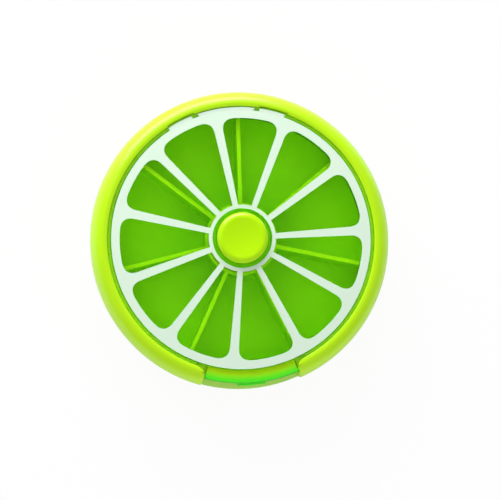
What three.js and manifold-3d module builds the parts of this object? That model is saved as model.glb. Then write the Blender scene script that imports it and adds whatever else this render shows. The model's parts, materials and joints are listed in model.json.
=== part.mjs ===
// A weekly pill organizer: a round carousel box that looks like a slice of citrus fruit.
// Pressing the button in the middle turns the seven-well tray by one well, and the pills leave by
// the small clear flap at the front.
// Millimetres, +Z up. The origin is the centre of the foot ring, on the surface that the box stands
// on. The flap faces -Y, and 0 degrees is +X.
import * as THREE from "three";
import { mergeVertices } from "three/addons/utils/BufferGeometryUtils.js";
import Module from "manifold-3d";

const wasm = await Module();
wasm.setup();

// Clearances
const RUN_GAP = 0.3; // between pieces that turn or slide on each other
const FIT_GAP = 0.25; // between pieces that are fixed in each other
const OVERRUN = 1; // how far a cutter passes the face that it cuts

// Tray
const WELLS = 7; // one for each day
const TRAY_RADIUS = 38.6;
const TRAY_FLOOR = 1.4;
const WELL_DEPTH = 11.4;
const DIVIDER_THICKNESS = 1.3;
const DIVIDER_INSET = 0.3; // how far a divider stops short of the tray's edge
const TRAY_LAG = -2.5; // degrees that the tray stands behind its exact station
const HUB_WALL = 1.2;
const HUB_FILLET = 1.2;

// Index notches under the tray, and the leaf spring that clicks into them
const NOTCH_RIB_INNER = 15;
const NOTCH_RIB_WIDTH = 4;
const NOTCH_WIDTH = 3.8;
const LEAF_THICKNESS = 0.3;
const LEAF_WIDTH = 3.6;
const LEAF_FOOT_LENGTH = 6;
const LEAF_RAMP_LENGTH = 5.2;
const LEAF_BUMP_LENGTH = 3;
const LEAF_BUMP_FLAT_SHARE = 1 / 3; // of the bump's length that is level
const LEAF_STATION = 1; // the notch that the leaf rests in, counted from the first divider

// Base
const FOOT_HEIGHT = 1.2;
const FOOT_WIDTH = 3.5;
const BASE_FLOOR = 2;
const UNDER_TRAY = 2; // height of the space below the tray
const SHELL_WALL = 1.8;
const BOWL_REACH = 8; // how far in from the widest edge the underside curves
const BOWL_RISE = 6.2; // height of that curve
const SEAM_RISE = 2.2; // from the curve's end to the seam under the rim ring
const BOSS_MARGIN = 0.5; // of the centre boss round the tray's washer
const CHAMBER_WALL = 1.4;
const CHAMBER_GAP = 0.6; // between the tray's edge and the chamber wall

// Rim ring
const RING_BAND = 5.1; // from the lid's opening to the widest edge
const RING_CROWN_INSET = 0.5; // from the lid's opening to the ring's highest line
const RING_CROWN_RISE = 0.6; // of the highest line above the lid's edge
const RING_SIDE = 5; // from the seam to the start of the crown's curve
const RING_EDGE_ROUND = 0.4;
const RING_EDGE_SHARE = 1 / 2; // of the crown's rise that its inner edge has
const LEDGE_WIDTH = 0.95;
const LEDGE_THICKNESS = 1;
const TRAY_HEADROOM = 0.8; // from the dividers to the ledge

// Lid and its printed film
const LID_LAP = 0.35; // how far the lid passes the chamber wall's inner face
const LID_GAP = 0.35; // between the lid's edge and the ring
const LID_THICKNESS = 1.3;
const LID_DOME = 1.5;
const LUG_REACH = 0.6;
const LUG_ANGLE = 11.7; // degrees that one lug spans
const LUG_OFFSET = 2.5; // degrees from the back to the middle of both lugs
const LUG_SPREAD = 20.6; // degrees from there to the middle of each lug
const LUG_GAP_ANGLE = 0.45;
const FILM_THICKNESS = 0.2;
const FILM_GAP = 0.1;
const FILM_MARGIN = 0.2; // from the film's edge to the ledge's inner edge
const FILM_BORDER = 2.46;
const FILM_HOLE_MARGIN = 0.15;
const FILM_EYE_WIDTH = 1.15;
const SEGMENTS = 11;
const SPOKE_WIDTH = 1.6; // where a spoke leaves the eye
const SPOKE_SPREAD = 1.15; // how much wider a spoke is at the border
const SEGMENT_CORNER = 3.8;

// Exit flap
const FLAP_HALF_ANGLE = 19.05;
const FLAP_SIDE_ANGLE = 0.45; // degrees of gap at each end of the flap
const FLAP_SEAM = 0.1; // from the film's edge to the notch in the lid
const FLAP_SEAM_GAP = 0.4;
const FLAP_PLATE = 1.1;
const FLAP_SKIRT = 0.9;
const FLAP_SKIRT_GAP = 1.15; // between the chamber wall and the skirt
const FLAP_DROP = 0.8; // how far the flap's top lies below the lid's edge
const FLAP_PIN_RADIUS = 0.45;
const FLAP_PIN_REACH = 1;
const FLAP_PIN_SETBACK = 0.65; // from the skirt's outside to the chord that the pins lie on
const FLAP_PIN_INSET = 0.5; // from the plate's top to the pins' centre line
const FLAP_TAB_HALF_ANGLE = 5.6;
const FLAP_TAB_REACH = 1.25;
const FLAP_TAB_HEIGHT = 2.6;
const CUTOUT_ROUND = 3;
const LIP_THICKNESS = 1.5;
const LIP_RISE = 0.3; // of the lip above the tray's floor
const LIP_GAP = 0.7; // between the lip and the flap's lower edge

// Button and its drive
const BUTTON_RADIUS = 7.5;
const BUTTON_GAP = 1.1; // between the button and the lid's hole
const BUTTON_STAND = 2.8; // of the button above the lid
const BUTTON_TRAVEL = 2.8;
const BUTTON_ROUND = 1.1;
const BUTTON_DISH = 0.6;
const BUTTON_WALL = 1.3;
const BUTTON_TOP = 1.4;
const FLANGE_LAP = 0.6;
const FLANGE_THICKNESS = 1;
const FLANGE_GAP = 0.4; // between the flange and the tray's hub
const SOCKET_WALL = 1.1;
const SOCKET_DEPTH = 2.1;
const HEX_WIDTH = 3.6; // across the flats of the spindle
const HEX_SIDES = 6;
const STEM_WALL = 0.7;
const STEM_STOP = 0.4; // left under the stem at full travel
const STEM_NECK = 0.65; // how much thinner the stem is in its socket
const RIB_HEIGHT = 0.8;
const RIB_HALF_ANGLE = 13;
const RIBS = 3;
const RIB_SPARE = 1.2; // from the stem's shoulder down to the ribs' ends
const STEM_CAP = 0.7; // from the top of the stem's bore to its shoulder
const WHEEL_WALL = 2.05;
const WHEEL_HEIGHT = 6.6;
const JOURNAL_MARGIN = 0.4;
const JOURNAL_PLAY = 0.2; // above the tray's hub
const TRAY_WASHER_THICKNESS = 0.6;
const TRAY_WASHER_WIDTH = 2.5;
const TOOTH_HEIGHT = 1;
const TOOTH_RISE = 3.6;
const TOOTH_RAMP_ANGLE = 30;
const PAWL_BAND = 0.6;
const PAWL_LIFT = 0.6; // of the pawl ring above the wheel's lower face
const PAWL_THICKNESS = 0.6;
const PAWL_HEIGHT = 2;
const PAWL_ANGLE = 44; // degrees along one pawl
const PAWL_TIP_GAP = 2; // degrees between a pawl's tip and its tooth
const PAWL_STATIONS = [0, 3]; // the teeth that the pawls rest behind
const SPRING_WIRE = 0.3;
const SPRING_TURNS = 6;
const SPRING_SEAT_GAP = 0.2;

// Screws
const RIM_SCREW_ANGLES = [45, 135, 225, 315];
const RIM_SCREW_RADIUS = 0.8;
const RIM_SCREW_LENGTH = 9;
const RIM_SCREW_HEAD = 1.45;
const RIM_SCREW_HEAD_HEIGHT = 1.2;
const RIM_SCREW_SEAT = 3.4; // from the seam down to the head's seat
const RIM_BOSS_WALL = 0.85;
const CENTER_SCREW_RADIUS = 0.8;
const CENTER_SCREW_LENGTH = 6.5;
const CENTER_SCREW_HEAD = 2.2;
const CENTER_SCREW_HEAD_HEIGHT = 1.2;
const CENTER_WASHER_RADIUS = 2.8;
const CENTER_WASHER_THICKNESS = 0.4;
const CENTER_FLOOR = 1.6; // base material above the centre washer
const LEAF_SCREW_RADIUS = 0.7;
const LEAF_SCREW_LENGTH = 1.4;
const LEAF_SCREW_HEAD = 1.4;
const LEAF_SCREW_HEAD_HEIGHT = 0.55;
const SCREW_TIP_GAP = 0.5;

// Facets
const ROUND = 60; // around the box
const SMALL_ROUND = 24; // around the hub and the button
const TINY_ROUND = 12; // around screws and pins
const ARC_STEPS = 5; // along a curved edge in plan
const PROFILE_STEPS = 4; // along a curve in a turned profile
const DOME_STEPS = 3; // from the lid's hole to its ledge
const RIB_STEPS = 3; // between two ribs of the stem
const TWIST_STEP = 1; // height of one step of a twisted solid
const DISH_STEPS = 3; // from the button's rim to its middle
const SHORT_ARC_STEPS = 2; // along a rib's crest or a segment's short arcs
const WIRE_SIDES = 5; // round the spring's wire
const WIRE_STEPS = 8; // along one turn of the spring
const SAME_POINT = 1e-4; // corners closer than this are one corner

// Heights, from the table up
const bowlTop = FOOT_HEIGHT / 2 + BOWL_RISE;
const seamHeight = bowlTop + SEAM_RISE;
const shoulderHeight = seamHeight + RING_SIDE;
const floorTop = FOOT_HEIGHT + BASE_FLOOR;
const trayBottom = floorTop + UNDER_TRAY;
const trayTop = trayBottom + TRAY_FLOOR;
const dividerTop = trayTop + WELL_DEPTH;
const ledgeBottom = dividerTop + TRAY_HEADROOM;
const ledgeTop = ledgeBottom + LEDGE_THICKNESS;
const lidEdgeTop = ledgeTop + LID_THICKNESS;
const crownTop = lidEdgeTop + RING_CROWN_RISE;
const bossTop = trayBottom - TRAY_WASHER_THICKNESS;
const ribDrop =
  UNDER_TRAY - LEAF_THICKNESS - LEAF_SCREW_HEAD_HEIGHT - RUN_GAP;
const wheelBottom = trayTop + JOURNAL_PLAY;
const wheelTop = wheelBottom + WHEEL_HEIGHT;
const lipTop = trayTop + LIP_RISE;
const flapTop = lidEdgeTop - FLAP_DROP;
const flapBottom = lipTop + LIP_GAP;

// Radii, from the middle out
const acrossCorners = 1 / Math.cos(Math.PI / HEX_SIDES); // a hexagon's corner width over its flats
const stemBore = HEX_WIDTH + 2 * RUN_GAP;
const stemRadius = (stemBore / 2) * acrossCorners + STEM_WALL;
const ribRadius = stemRadius + RIB_HEIGHT;
const grooveRadius = ribRadius + RUN_GAP;
const wheelRadius = grooveRadius + WHEEL_WALL;
const journalRadius = grooveRadius + JOURNAL_MARGIN;
const hubBore = journalRadius + RUN_GAP;
const bossRadius = hubBore + TRAY_WASHER_WIDTH + BOSS_MARGIN;
const lidHole = BUTTON_RADIUS + BUTTON_GAP;
const flangeRadius = lidHole + FLANGE_LAP;
const hubInner = flangeRadius + FLANGE_GAP;
const hubOuter = hubInner + HUB_WALL;
const chamberInner = TRAY_RADIUS + CHAMBER_GAP;
const chamberOuter = chamberInner + CHAMBER_WALL;
const lidRadius = chamberInner + LID_LAP;
const ledgeInner = lidRadius - LEDGE_WIDTH;
const ringInner = lidRadius + LID_GAP;
const outerRadius = ringInner + RING_BAND;
const crownRadius = ringInner + RING_CROWN_INSET;
const filmRadius = ledgeInner - FILM_MARGIN;
const filmHole = lidHole + FILM_HOLE_MARGIN;
const eyeRadius = filmHole + FILM_EYE_WIDTH;
const borderInner = filmRadius - FILM_BORDER;
const seamRadius = filmRadius + FLAP_SEAM;
const flapInner = seamRadius + FLAP_SEAM_GAP;
const skirtInner = chamberOuter + FLAP_SKIRT_GAP;
const flapRadius = skirtInner + FLAP_SKIRT;
const footOuter = outerRadius - BOWL_REACH;
const cutoutHalfAngle = FLAP_HALF_ANGLE + FLAP_SIDE_ANGLE;

// Angles, in degrees
const FRONT = -90;
const BACK = 90;
const WELL_ANGLE = 360 / WELLS;
const firstDivider = BACK + TRAY_LAG;
const twistPerMm = WELL_ANGLE / BUTTON_TRAVEL;

// Turns degrees into radians.
function rad(degrees) {
  return THREE.MathUtils.degToRad(degrees);
}

// A plan point at a radius and an angle in degrees.
function polar(radius, degrees) {
  return [radius * Math.cos(rad(degrees)), radius * Math.sin(rad(degrees))];
}

// Joins a closed surface's corners into one solid, with its faces pointing out.
function solidOf(geometry) {
  const bare = geometry.clone();
  bare.deleteAttribute("normal");
  bare.deleteAttribute("uv");
  const merged = mergeVertices(bare, SAME_POINT);
  const triangles = [];
  for (let i = 0; i < merged.index.count; i += 3) {
    const [a, b, c] = [0, 1, 2].map((k) => merged.index.getX(i + k));
    if (a !== b && b !== c && c !== a) triangles.push(a, b, c);
  }
  const build = (order) =>
    new wasm.Manifold(
      new wasm.Mesh({
        numProp: 3,
        vertProperties: merged.attributes.position.array,
        triVerts: new Uint32Array(order),
      }),
    );
  const made = build(triangles);
  return made.volume() > 0 ? made : build(triangles.slice().reverse());
}

// Turns a profile of [radius, height] points round the Z axis.
function turned(profile, sides = ROUND) {
  const points = profile.map(([r, z]) => new THREE.Vector2(r, z));
  return solidOf(
    new THREE.LatheGeometry(points, sides).rotateX(Math.PI / 2),
  );
}

// A ring of rectangular section, as a closed profile that turned() takes.
function ringProfile(inner, outer, bottom, top) {
  return [
    [inner, bottom],
    [outer, bottom],
    [outer, top],
    [inner, top],
    [inner, bottom],
  ];
}

// Extrudes a plan outline, with any holes, between two heights.
function prism(outline, bottom, top, holes = []) {
  const toPoints = (list) => list.map(([x, y]) => new THREE.Vector2(x, y));
  const shape = new THREE.Shape(toPoints(outline));
  shape.holes = holes.map((hole) => new THREE.Path(toPoints(hole)));
  const options = { depth: top - bottom, bevelEnabled: false };
  return solidOf(
    new THREE.ExtrudeGeometry(shape, options).translate(0, 0, bottom),
  );
}

// An upright cylinder at a plan point.
function rod(radius, bottom, top, sides = TINY_ROUND, [x, y] = [0, 0]) {
  const height = top - bottom;
  return solidOf(
    new THREE.CylinderGeometry(radius, radius, height, sides)
      .rotateX(Math.PI / 2)
      .translate(x, y, bottom + height / 2),
  );
}

// Points along a circle from one angle to another.
function arc(radius, from, to, steps = ARC_STEPS) {
  return Array.from({ length: steps + 1 }, (_, i) =>
    polar(radius, from + ((to - from) * i) / steps),
  );
}

// Points along an ellipse in a profile, from one angle to another.
function ellipseArc(centreR, centreZ, reach, rise, from, to) {
  return Array.from({ length: PROFILE_STEPS + 1 }, (_, i) => {
    const a = rad(from + ((to - from) * i) / PROFILE_STEPS);
    return [centreR + reach * Math.cos(a), centreZ + rise * Math.sin(a)];
  });
}

// The plan outline of a sector between two radii, centred on an angle.
function sector(inner, outer, centre, halfAngle, steps = ARC_STEPS) {
  return [
    ...arc(inner, centre - halfAngle, centre + halfAngle, steps),
    ...arc(outer, centre + halfAngle, centre - halfAngle, steps),
  ];
}

// Twists a solid's outline about Z as it rises, by extruding it in steps.
function twistedPrism(outline, bottom, top, phaseHeight) {
  const shape = new THREE.Shape(outline.map(([x, y]) => new THREE.Vector2(x, y)));
  const steps = Math.ceil((top - bottom) / TWIST_STEP);
  const geometry = new THREE.ExtrudeGeometry(shape, {
    depth: top - bottom,
    steps,
    bevelEnabled: false,
  }).translate(0, 0, bottom);
  const at = geometry.attributes.position;
  for (let i = 0; i < at.count; i += 1) {
    const turn = rad(twistPerMm * (at.getZ(i) - phaseHeight));
    const point = new THREE.Vector2(at.getX(i), at.getY(i));
    point.rotateAround(new THREE.Vector2(), turn);
    at.setXY(i, point.x, point.y);
  }
  return solidOf(geometry);
}

const organizer = new THREE.Group();

// Adds a solid to the model as a named mesh.
function add(name, solid, material) {
  const { vertProperties, triVerts } = solid.getMesh();
  const geometry = new THREE.BufferGeometry();
  geometry.setAttribute(
    "position",
    new THREE.BufferAttribute(vertProperties, 3),
  );
  geometry.setIndex(new THREE.BufferAttribute(triVerts, 1));
  geometry.computeVertexNormals();
  const mesh = new THREE.Mesh(geometry, material);
  mesh.name = name;
  organizer.add(mesh);
}

// A plastic or metal finish.
function finish(color, roughness, metalness = 0, opacity = 1) {
  return new THREE.MeshStandardMaterial({
    color,
    roughness,
    metalness,
    opacity,
    transparent: opacity < 1,
  });
}

const limeShell = finish(0xb9ec28, 0.28);
const limeButton = finish(0xb2e612, 0.3);
const limeTray = finish(0x8ddc18, 0.35);
const clearGreen = finish(0x6ed82a, 0.06, 0, 0.45);
const whiteInk = finish(0xeefcf0, 0.45);
const whitePlastic = finish(0xf1f1ea, 0.4);
const springSteel = finish(0xb9bcc0, 0.25, 1);
const screwSteel = finish(0xa7a9ac, 0.32, 1);

// Where the four rim screws stand in plan.
const rimScrewRadius = (chamberOuter + outerRadius - SHELL_WALL) / 2;
const rimSeat = seamHeight - RIM_SCREW_SEAT;
const rimBoss = RIM_SCREW_HEAD + RUN_GAP + RIM_BOSS_WALL;
const rimScrewPlaces = RIM_SCREW_ANGLES.map((a) => polar(rimScrewRadius, a));
const rimHole = RIM_SCREW_RADIUS + FIT_GAP;

// Where the leaf spring and its screw lie: a frame whose X runs along the leaf.
const leafAngle = firstDivider + LEAF_STATION * WELL_ANGLE;
const leafRadius = NOTCH_RIB_INNER + NOTCH_RIB_WIDTH / 2;
const leafScrewAlong =
  LEAF_BUMP_LENGTH / 2 + LEAF_RAMP_LENGTH + LEAF_FOOT_LENGTH / 2;
const leafScrewPlace = new THREE.Vector2(leafRadius, leafScrewAlong)
  .rotateAround(new THREE.Vector2(), rad(leafAngle))
  .toArray();

// The button, its stem and its spring.
const capUnderside = lidTopAt(lidHole) + BUTTON_STAND - BUTTON_DISH - BUTTON_TOP;
const flangeTop = lidTopAt(flangeRadius) - LID_THICKNESS - RUN_GAP;
const stemBottom = wheelBottom + BUTTON_TRAVEL + STEM_STOP;
const socketBottom = capUnderside - SOCKET_DEPTH;
const stemShoulder = socketBottom - RUN_GAP;
const stemBoreTop = stemShoulder - STEM_CAP;
const spindleTop = stemBoreTop - BUTTON_TRAVEL - STEM_STOP;
const neckRadius = stemRadius - STEM_NECK;
const socketOuter = neckRadius + RUN_GAP + SOCKET_WALL;
const springRadius = (socketOuter + BUTTON_RADIUS - BUTTON_WALL) / 2;

// The flap's hinge line: a chord under the flap's top that meets the ring on both sides.
const hingeHeight = flapTop - FLAP_PIN_INSET;
const hingeRadius = flapRadius - FLAP_PIN_SETBACK;
const hingeChord = hingeRadius * Math.cos(rad(FLAP_HALF_ANGLE));

// The outside of the base bowl, from the foot to the seam.
const bowlOutside = [
  [footOuter, 0],
  ...ellipseArc(footOuter, bowlTop, BOWL_REACH, BOWL_RISE, -90, 0),
  [outerRadius, seamHeight],
];

function makeBase() {
  const bowlInside = ellipseArc(
    footOuter,
    bowlTop,
    BOWL_REACH - SHELL_WALL,
    BOWL_RISE - SHELL_WALL,
    0,
    -90,
  ).filter(([r]) => r > chamberOuter);
  const recessTop = bossTop - CENTER_FLOOR;
  const hole = CENTER_SCREW_RADIUS + FIT_GAP;
  const recess = CENTER_WASHER_RADIUS + RUN_GAP;
  const wallFoot = bowlInside[bowlInside.length - 1][1];
  const shell = turned([
    [hole, recessTop],
    [recess, recessTop],
    [recess, FOOT_HEIGHT],
    [footOuter - FOOT_WIDTH, FOOT_HEIGHT],
    [footOuter - FOOT_WIDTH, 0],
    ...bowlOutside,
    [outerRadius - SHELL_WALL, seamHeight],
    ...bowlInside,
    [chamberOuter, wallFoot],
    [chamberOuter, seamHeight],
    [chamberInner, seamHeight],
    [chamberInner, floorTop],
    [bossRadius, floorTop],
    [bossRadius, bossTop],
    [hole, bossTop],
    [hole, recessTop],
  ]);
  const envelope = turned([[0, 0], ...bowlOutside, [0, seamHeight]]);
  const lip = prism(
    sector(chamberInner, outerRadius + OVERRUN, FRONT, cutoutHalfAngle),
    lipTop - LIP_THICKNESS,
    lipTop,
  );
  const exit = prism(
    sector(chamberInner - OVERRUN, outerRadius + OVERRUN, FRONT, cutoutHalfAngle),
    lipTop,
    seamHeight + OVERRUN,
  );
  let base = shell.add(envelope.intersect(lip));
  for (const place of rimScrewPlaces) {
    const boss = rod(rimBoss, FOOT_HEIGHT, seamHeight, TINY_ROUND, place);
    const chamber = rod(chamberInner, 0, seamHeight + OVERRUN, ROUND);
    base = base.add(boss.intersect(envelope).subtract(chamber));
  }
  for (const place of rimScrewPlaces) {
    const headHole = RIM_SCREW_HEAD + RUN_GAP;
    base = base
      .subtract(rod(headHole, -OVERRUN, rimSeat, TINY_ROUND, place))
      .subtract(rod(rimHole, 0, seamHeight + OVERRUN, TINY_ROUND, place));
  }
  const leafHole = LEAF_SCREW_RADIUS + FIT_GAP;
  const leafHoleBottom = floorTop - LEAF_SCREW_LENGTH - FIT_GAP;
  return base
    .subtract(exit)
    .subtract(
      rod(leafHole, leafHoleBottom, floorTop + OVERRUN, TINY_ROUND, leafScrewPlace),
    );
}

// The ring's cut-out for the flap, whose corners are rounded where they meet the lid's opening.
function cutoutOutline() {
  const far = outerRadius + OVERRUN;
  const near = ledgeInner - OVERRUN;
  const roundAngle = THREE.MathUtils.radToDeg(CUTOUT_ROUND / ringInner);
  const corner = (side) => {
    const edge = FRONT + side * cutoutHalfAngle;
    const place = (r, a) => new THREE.Vector2(...polar(r, a));
    const curve = new THREE.QuadraticBezierCurve(
      place(ringInner + CUTOUT_ROUND, edge),
      place(ringInner, edge),
      place(ringInner, edge + side * roundAngle),
    );
    return curve.getPoints(ARC_STEPS).map((p) => p.toArray());
  };
  const wide = cutoutHalfAngle + roundAngle;
  return [
    ...arc(far, FRONT - cutoutHalfAngle, FRONT + cutoutHalfAngle),
    ...corner(1),
    ...arc(near, FRONT + wide, FRONT - wide),
    ...corner(-1).reverse(),
  ];
}

function makeRing() {
  const crownHeight = crownTop - shoulderHeight;
  const crown = ellipseArc(
    crownRadius,
    shoulderHeight,
    outerRadius - crownRadius,
    crownHeight,
    90,
    0,
  );
  const inside = ellipseArc(
    crownRadius,
    shoulderHeight,
    outerRadius - crownRadius - SHELL_WALL,
    crownHeight - SHELL_WALL,
    0,
    90,
  ).filter(([, z]) => z < ledgeBottom);
  const edgeTop = lidEdgeTop + RING_CROWN_RISE * RING_EDGE_SHARE;
  const shell = turned([
    [chamberInner, seamHeight],
    [chamberInner, ledgeBottom],
    [ledgeInner, ledgeBottom],
    [ledgeInner, ledgeTop],
    [ringInner, ledgeTop],
    [ringInner, edgeTop - RING_EDGE_ROUND],
    [ringInner + RING_EDGE_ROUND, edgeTop],
    ...crown,
    [outerRadius, seamHeight],
    [outerRadius - SHELL_WALL, seamHeight],
    ...inside,
    [inside[inside.length - 1][0], ledgeBottom],
    [chamberOuter, ledgeBottom],
    [chamberOuter, seamHeight],
    [chamberInner, seamHeight],
  ]);
  let ring = shell;
  for (const place of rimScrewPlaces) {
    const space = turned(
      ringProfile(chamberInner, outerRadius - SHELL_WALL, seamHeight, ledgeTop),
    );
    const boss = rod(
      rimHole + RIM_BOSS_WALL,
      seamHeight,
      ledgeBottom + LEDGE_THICKNESS / 2,
      TINY_ROUND,
      place,
    );
    ring = ring.add(boss.intersect(space));
  }
  for (const place of rimScrewPlaces) {
    const holeTop = rimSeat + RIM_SCREW_LENGTH + SCREW_TIP_GAP;
    ring = ring.subtract(
      rod(rimHole, seamHeight - OVERRUN, holeTop, TINY_ROUND, place),
    );
  }
  const straight = sector(
    ledgeInner - OVERRUN,
    outerRadius + OVERRUN,
    FRONT,
    cutoutHalfAngle,
  );
  ring = ring
    .subtract(prism(straight, seamHeight - OVERRUN, crownTop + OVERRUN))
    .subtract(prism(cutoutOutline(), ledgeTop, crownTop + OVERRUN));
  for (const side of [-1, 1]) {
    const pocket = sector(
      ledgeInner,
      lidRadius + LUG_REACH + LID_GAP,
      BACK + LUG_OFFSET + side * LUG_SPREAD,
      LUG_ANGLE / 2 + LUG_GAP_ANGLE,
    );
    ring = ring.subtract(prism(pocket, ledgeTop, crownTop + OVERRUN));
  }
  return ring.subtract(hingePins(FLAP_PIN_RADIUS + FIT_GAP, FIT_GAP));
}

// The hinge pins' line through both ends of the flap, as one bar.
function hingePins(radius, extra) {
  const half = hingeChord * Math.tan(rad(FLAP_HALF_ANGLE)) + FLAP_PIN_REACH;
  const length = 2 * (half + extra);
  return solidOf(
    new THREE.CylinderGeometry(radius, radius, length, TINY_ROUND)
      .rotateZ(Math.PI / 2)
      .translate(0, -hingeChord, hingeHeight),
  );
}

// The height of the lid's top at a radius: domed inside the ledge, and level on it.
function lidTopAt(radius) {
  const share = Math.min(radius / ledgeInner, 1);
  return lidEdgeTop + LID_DOME * (1 - share * share);
}

// Radii from the lid's hole to its ledge, close enough to follow the dome.
function domeRadii(from, to) {
  return Array.from(
    { length: DOME_STEPS + 1 },
    (_, i) => from + ((to - from) * i) / DOME_STEPS,
  );
}

function makeLid() {
  const radii = [...domeRadii(lidHole, ledgeInner), lidRadius];
  const top = radii.map((r) => [r, lidTopAt(r)]);
  const bottom = radii.map((r) => [r, lidTopAt(r) - LID_THICKNESS]).reverse();
  let lid = turned([...top, ...bottom, top[0]]);
  for (const side of [-1, 1]) {
    const lug = sector(
      ledgeInner,
      lidRadius + LUG_REACH,
      BACK + LUG_OFFSET + side * LUG_SPREAD,
      LUG_ANGLE / 2,
    );
    lid = lid.add(prism(lug, ledgeTop, lidEdgeTop));
  }
  const notch = sector(seamRadius, lidRadius + OVERRUN, FRONT, cutoutHalfAngle);
  return lid.subtract(
    prism(notch, ledgeTop - OVERRUN, lidEdgeTop + LID_DOME),
  );
}

// The outline of one clear segment between two spokes, centred on an angle.
function segmentOutline(centre) {
  const half = 180 / SEGMENTS;
  const slope = SPOKE_SPREAD / (borderInner - eyeRadius);
  const side = (r, sign) => {
    const spoke = SPOKE_WIDTH + slope * (r - eyeRadius);
    const along = new THREE.Vector2(...polar(r, sign * half));
    const across = new THREE.Vector2(...polar(spoke / 2, sign * (half - 90)));
    return along.add(across);
  };
  const angleOf = (p) => THREE.MathUtils.radToDeg(p.angle());
  const cornerAngle = THREE.MathUtils.radToDeg(SEGMENT_CORNER / borderInner);
  const tip = side(borderInner, 1);
  const arcEnd = angleOf(tip) - cornerAngle;
  const corner = new THREE.QuadraticBezierCurve(
    side(borderInner - SEGMENT_CORNER, 1),
    tip,
    new THREE.Vector2(...polar(borderInner, arcEnd)),
  ).getPoints(ARC_STEPS);
  const innerAngle = angleOf(side(eyeRadius, 1));
  const upper = [
    ...arc(eyeRadius, 0, innerAngle, SHORT_ARC_STEPS),
    ...corner.map((p) => p.toArray()),
    ...arc(borderInner, arcEnd, 0, SHORT_ARC_STEPS).slice(1),
  ];
  const lower = upper
    .slice(1, -1)
    .map(([x, y]) => [x, -y])
    .reverse();
  return [...upper, ...lower].map((p) =>
    new THREE.Vector2(...p)
      .rotateAround(new THREE.Vector2(), rad(centre))
      .toArray(),
  );
}

function makeFilm() {
  const radii = domeRadii(lidHole, ledgeInner);
  const lower = radii.map((r) => [r, lidTopAt(r) + FILM_GAP]);
  const upper = radii
    .map((r) => [r, lidTopAt(r) + FILM_GAP + FILM_THICKNESS])
    .reverse();
  const skin = turned([...lower, ...upper, lower[0]]);
  const segments = Array.from({ length: SEGMENTS }, (_, i) =>
    segmentOutline(((i + 0.5) * 360) / SEGMENTS),
  );
  const pattern = prism(
    arc(filmRadius, 0, 360, ROUND).slice(0, -1),
    lidEdgeTop - OVERRUN,
    lidEdgeTop + LID_DOME + OVERRUN,
    [arc(filmHole, 0, 360, SMALL_ROUND).slice(0, -1), ...segments],
  );
  return skin.intersect(pattern);
}

function makeFlap() {
  const plate = sector(flapInner, flapRadius, FRONT, FLAP_HALF_ANGLE);
  const skirt = sector(skirtInner, flapRadius, FRONT, FLAP_HALF_ANGLE);
  const tab = sector(
    skirtInner,
    flapRadius + FLAP_TAB_REACH,
    FRONT,
    FLAP_TAB_HALF_ANGLE,
  );
  return prism(plate, flapTop - FLAP_PLATE, flapTop)
    .add(prism(skirt, flapBottom, flapTop))
    .add(prism(tab, flapBottom, flapBottom + FLAP_TAB_HEIGHT))
    .add(hingePins(FLAP_PIN_RADIUS, 0));
}

function makeTray() {
  const disc = turned([
    [hubBore, trayBottom],
    [NOTCH_RIB_INNER, trayBottom],
    [NOTCH_RIB_INNER, trayBottom - ribDrop],
    [NOTCH_RIB_INNER + NOTCH_RIB_WIDTH, trayBottom - ribDrop],
    [NOTCH_RIB_INNER + NOTCH_RIB_WIDTH, trayBottom],
    [TRAY_RADIUS, trayBottom],
    [TRAY_RADIUS, trayTop],
    [hubOuter + HUB_FILLET, trayTop],
    [hubOuter, trayTop + HUB_FILLET],
    [hubOuter, dividerTop],
    [hubInner, dividerTop],
    [hubInner, trayTop],
    [hubBore, trayTop],
    [hubBore, trayBottom],
  ]);
  let tray = disc;
  for (let i = 0; i < WELLS; i += 1) {
    const angle = firstDivider + i * WELL_ANGLE;
    tray = tray.add(makeDivider(angle)).add(makeTooth(angle));
  }
  for (let i = 0; i < WELLS; i += 1) {
    tray = tray.subtract(makeNotch(firstDivider + i * WELL_ANGLE));
  }
  return tray;
}

// One upright wall between two wells, from the hub almost to the tray's edge.
function makeDivider(angle) {
  const from = hubOuter - HUB_WALL / 2;
  const to = TRAY_RADIUS - DIVIDER_INSET;
  return solidOf(
    new THREE.BoxGeometry(to - from, DIVIDER_THICKNESS, WELL_DEPTH + TRAY_FLOOR / 2)
      .translate((from + to) / 2, 0, dividerTop - (WELL_DEPTH + TRAY_FLOOR / 2) / 2)
      .rotateZ(rad(angle)),
  );
}

// One ratchet tooth inside the hub: a steep face, then a ramp.
function makeTooth(angle) {
  const wall = hubInner + HUB_WALL / 2;
  const outline = [
    polar(wall, angle),
    polar(hubInner - TOOTH_HEIGHT, angle),
    polar(hubInner - TOOTH_HEIGHT / 2, angle + TOOTH_RAMP_ANGLE / 2),
    polar(hubInner + FIT_GAP, angle + TOOTH_RAMP_ANGLE),
    polar(wall, angle + TOOTH_RAMP_ANGLE / 2),
  ];
  return prism(outline.reverse(), trayTop - TRAY_FLOOR / 2, trayTop + TOOTH_RISE);
}

// One notch across the rib under the tray.
function makeNotch(angle) {
  const width = NOTCH_RIB_WIDTH + 2 * FIT_GAP;
  return solidOf(
    new THREE.BoxGeometry(width, NOTCH_WIDTH, 2 * ribDrop)
      .translate(leafRadius, 0, trayBottom - ribDrop)
      .rotateZ(rad(angle)),
  );
}

function makeTrayWasher() {
  return turned(
    ringProfile(hubBore, hubBore + TRAY_WASHER_WIDTH, bossTop, trayBottom),
    SMALL_ROUND,
  );
}

// The outline of the stem's ribbed section, or of the groove that it runs in.
function ribbedOutline(core, crest, extraAngle) {
  const half = RIB_HALF_ANGLE + extraAngle;
  const pitch = 360 / RIBS;
  const points = [];
  for (let i = 0; i < RIBS; i += 1) {
    const centre = i * pitch;
    points.push(...arc(crest, centre - half, centre + half, SHORT_ARC_STEPS));
    points.push(...arc(core, centre + half, centre + pitch - half, RIB_STEPS));
  }
  return points;
}

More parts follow.
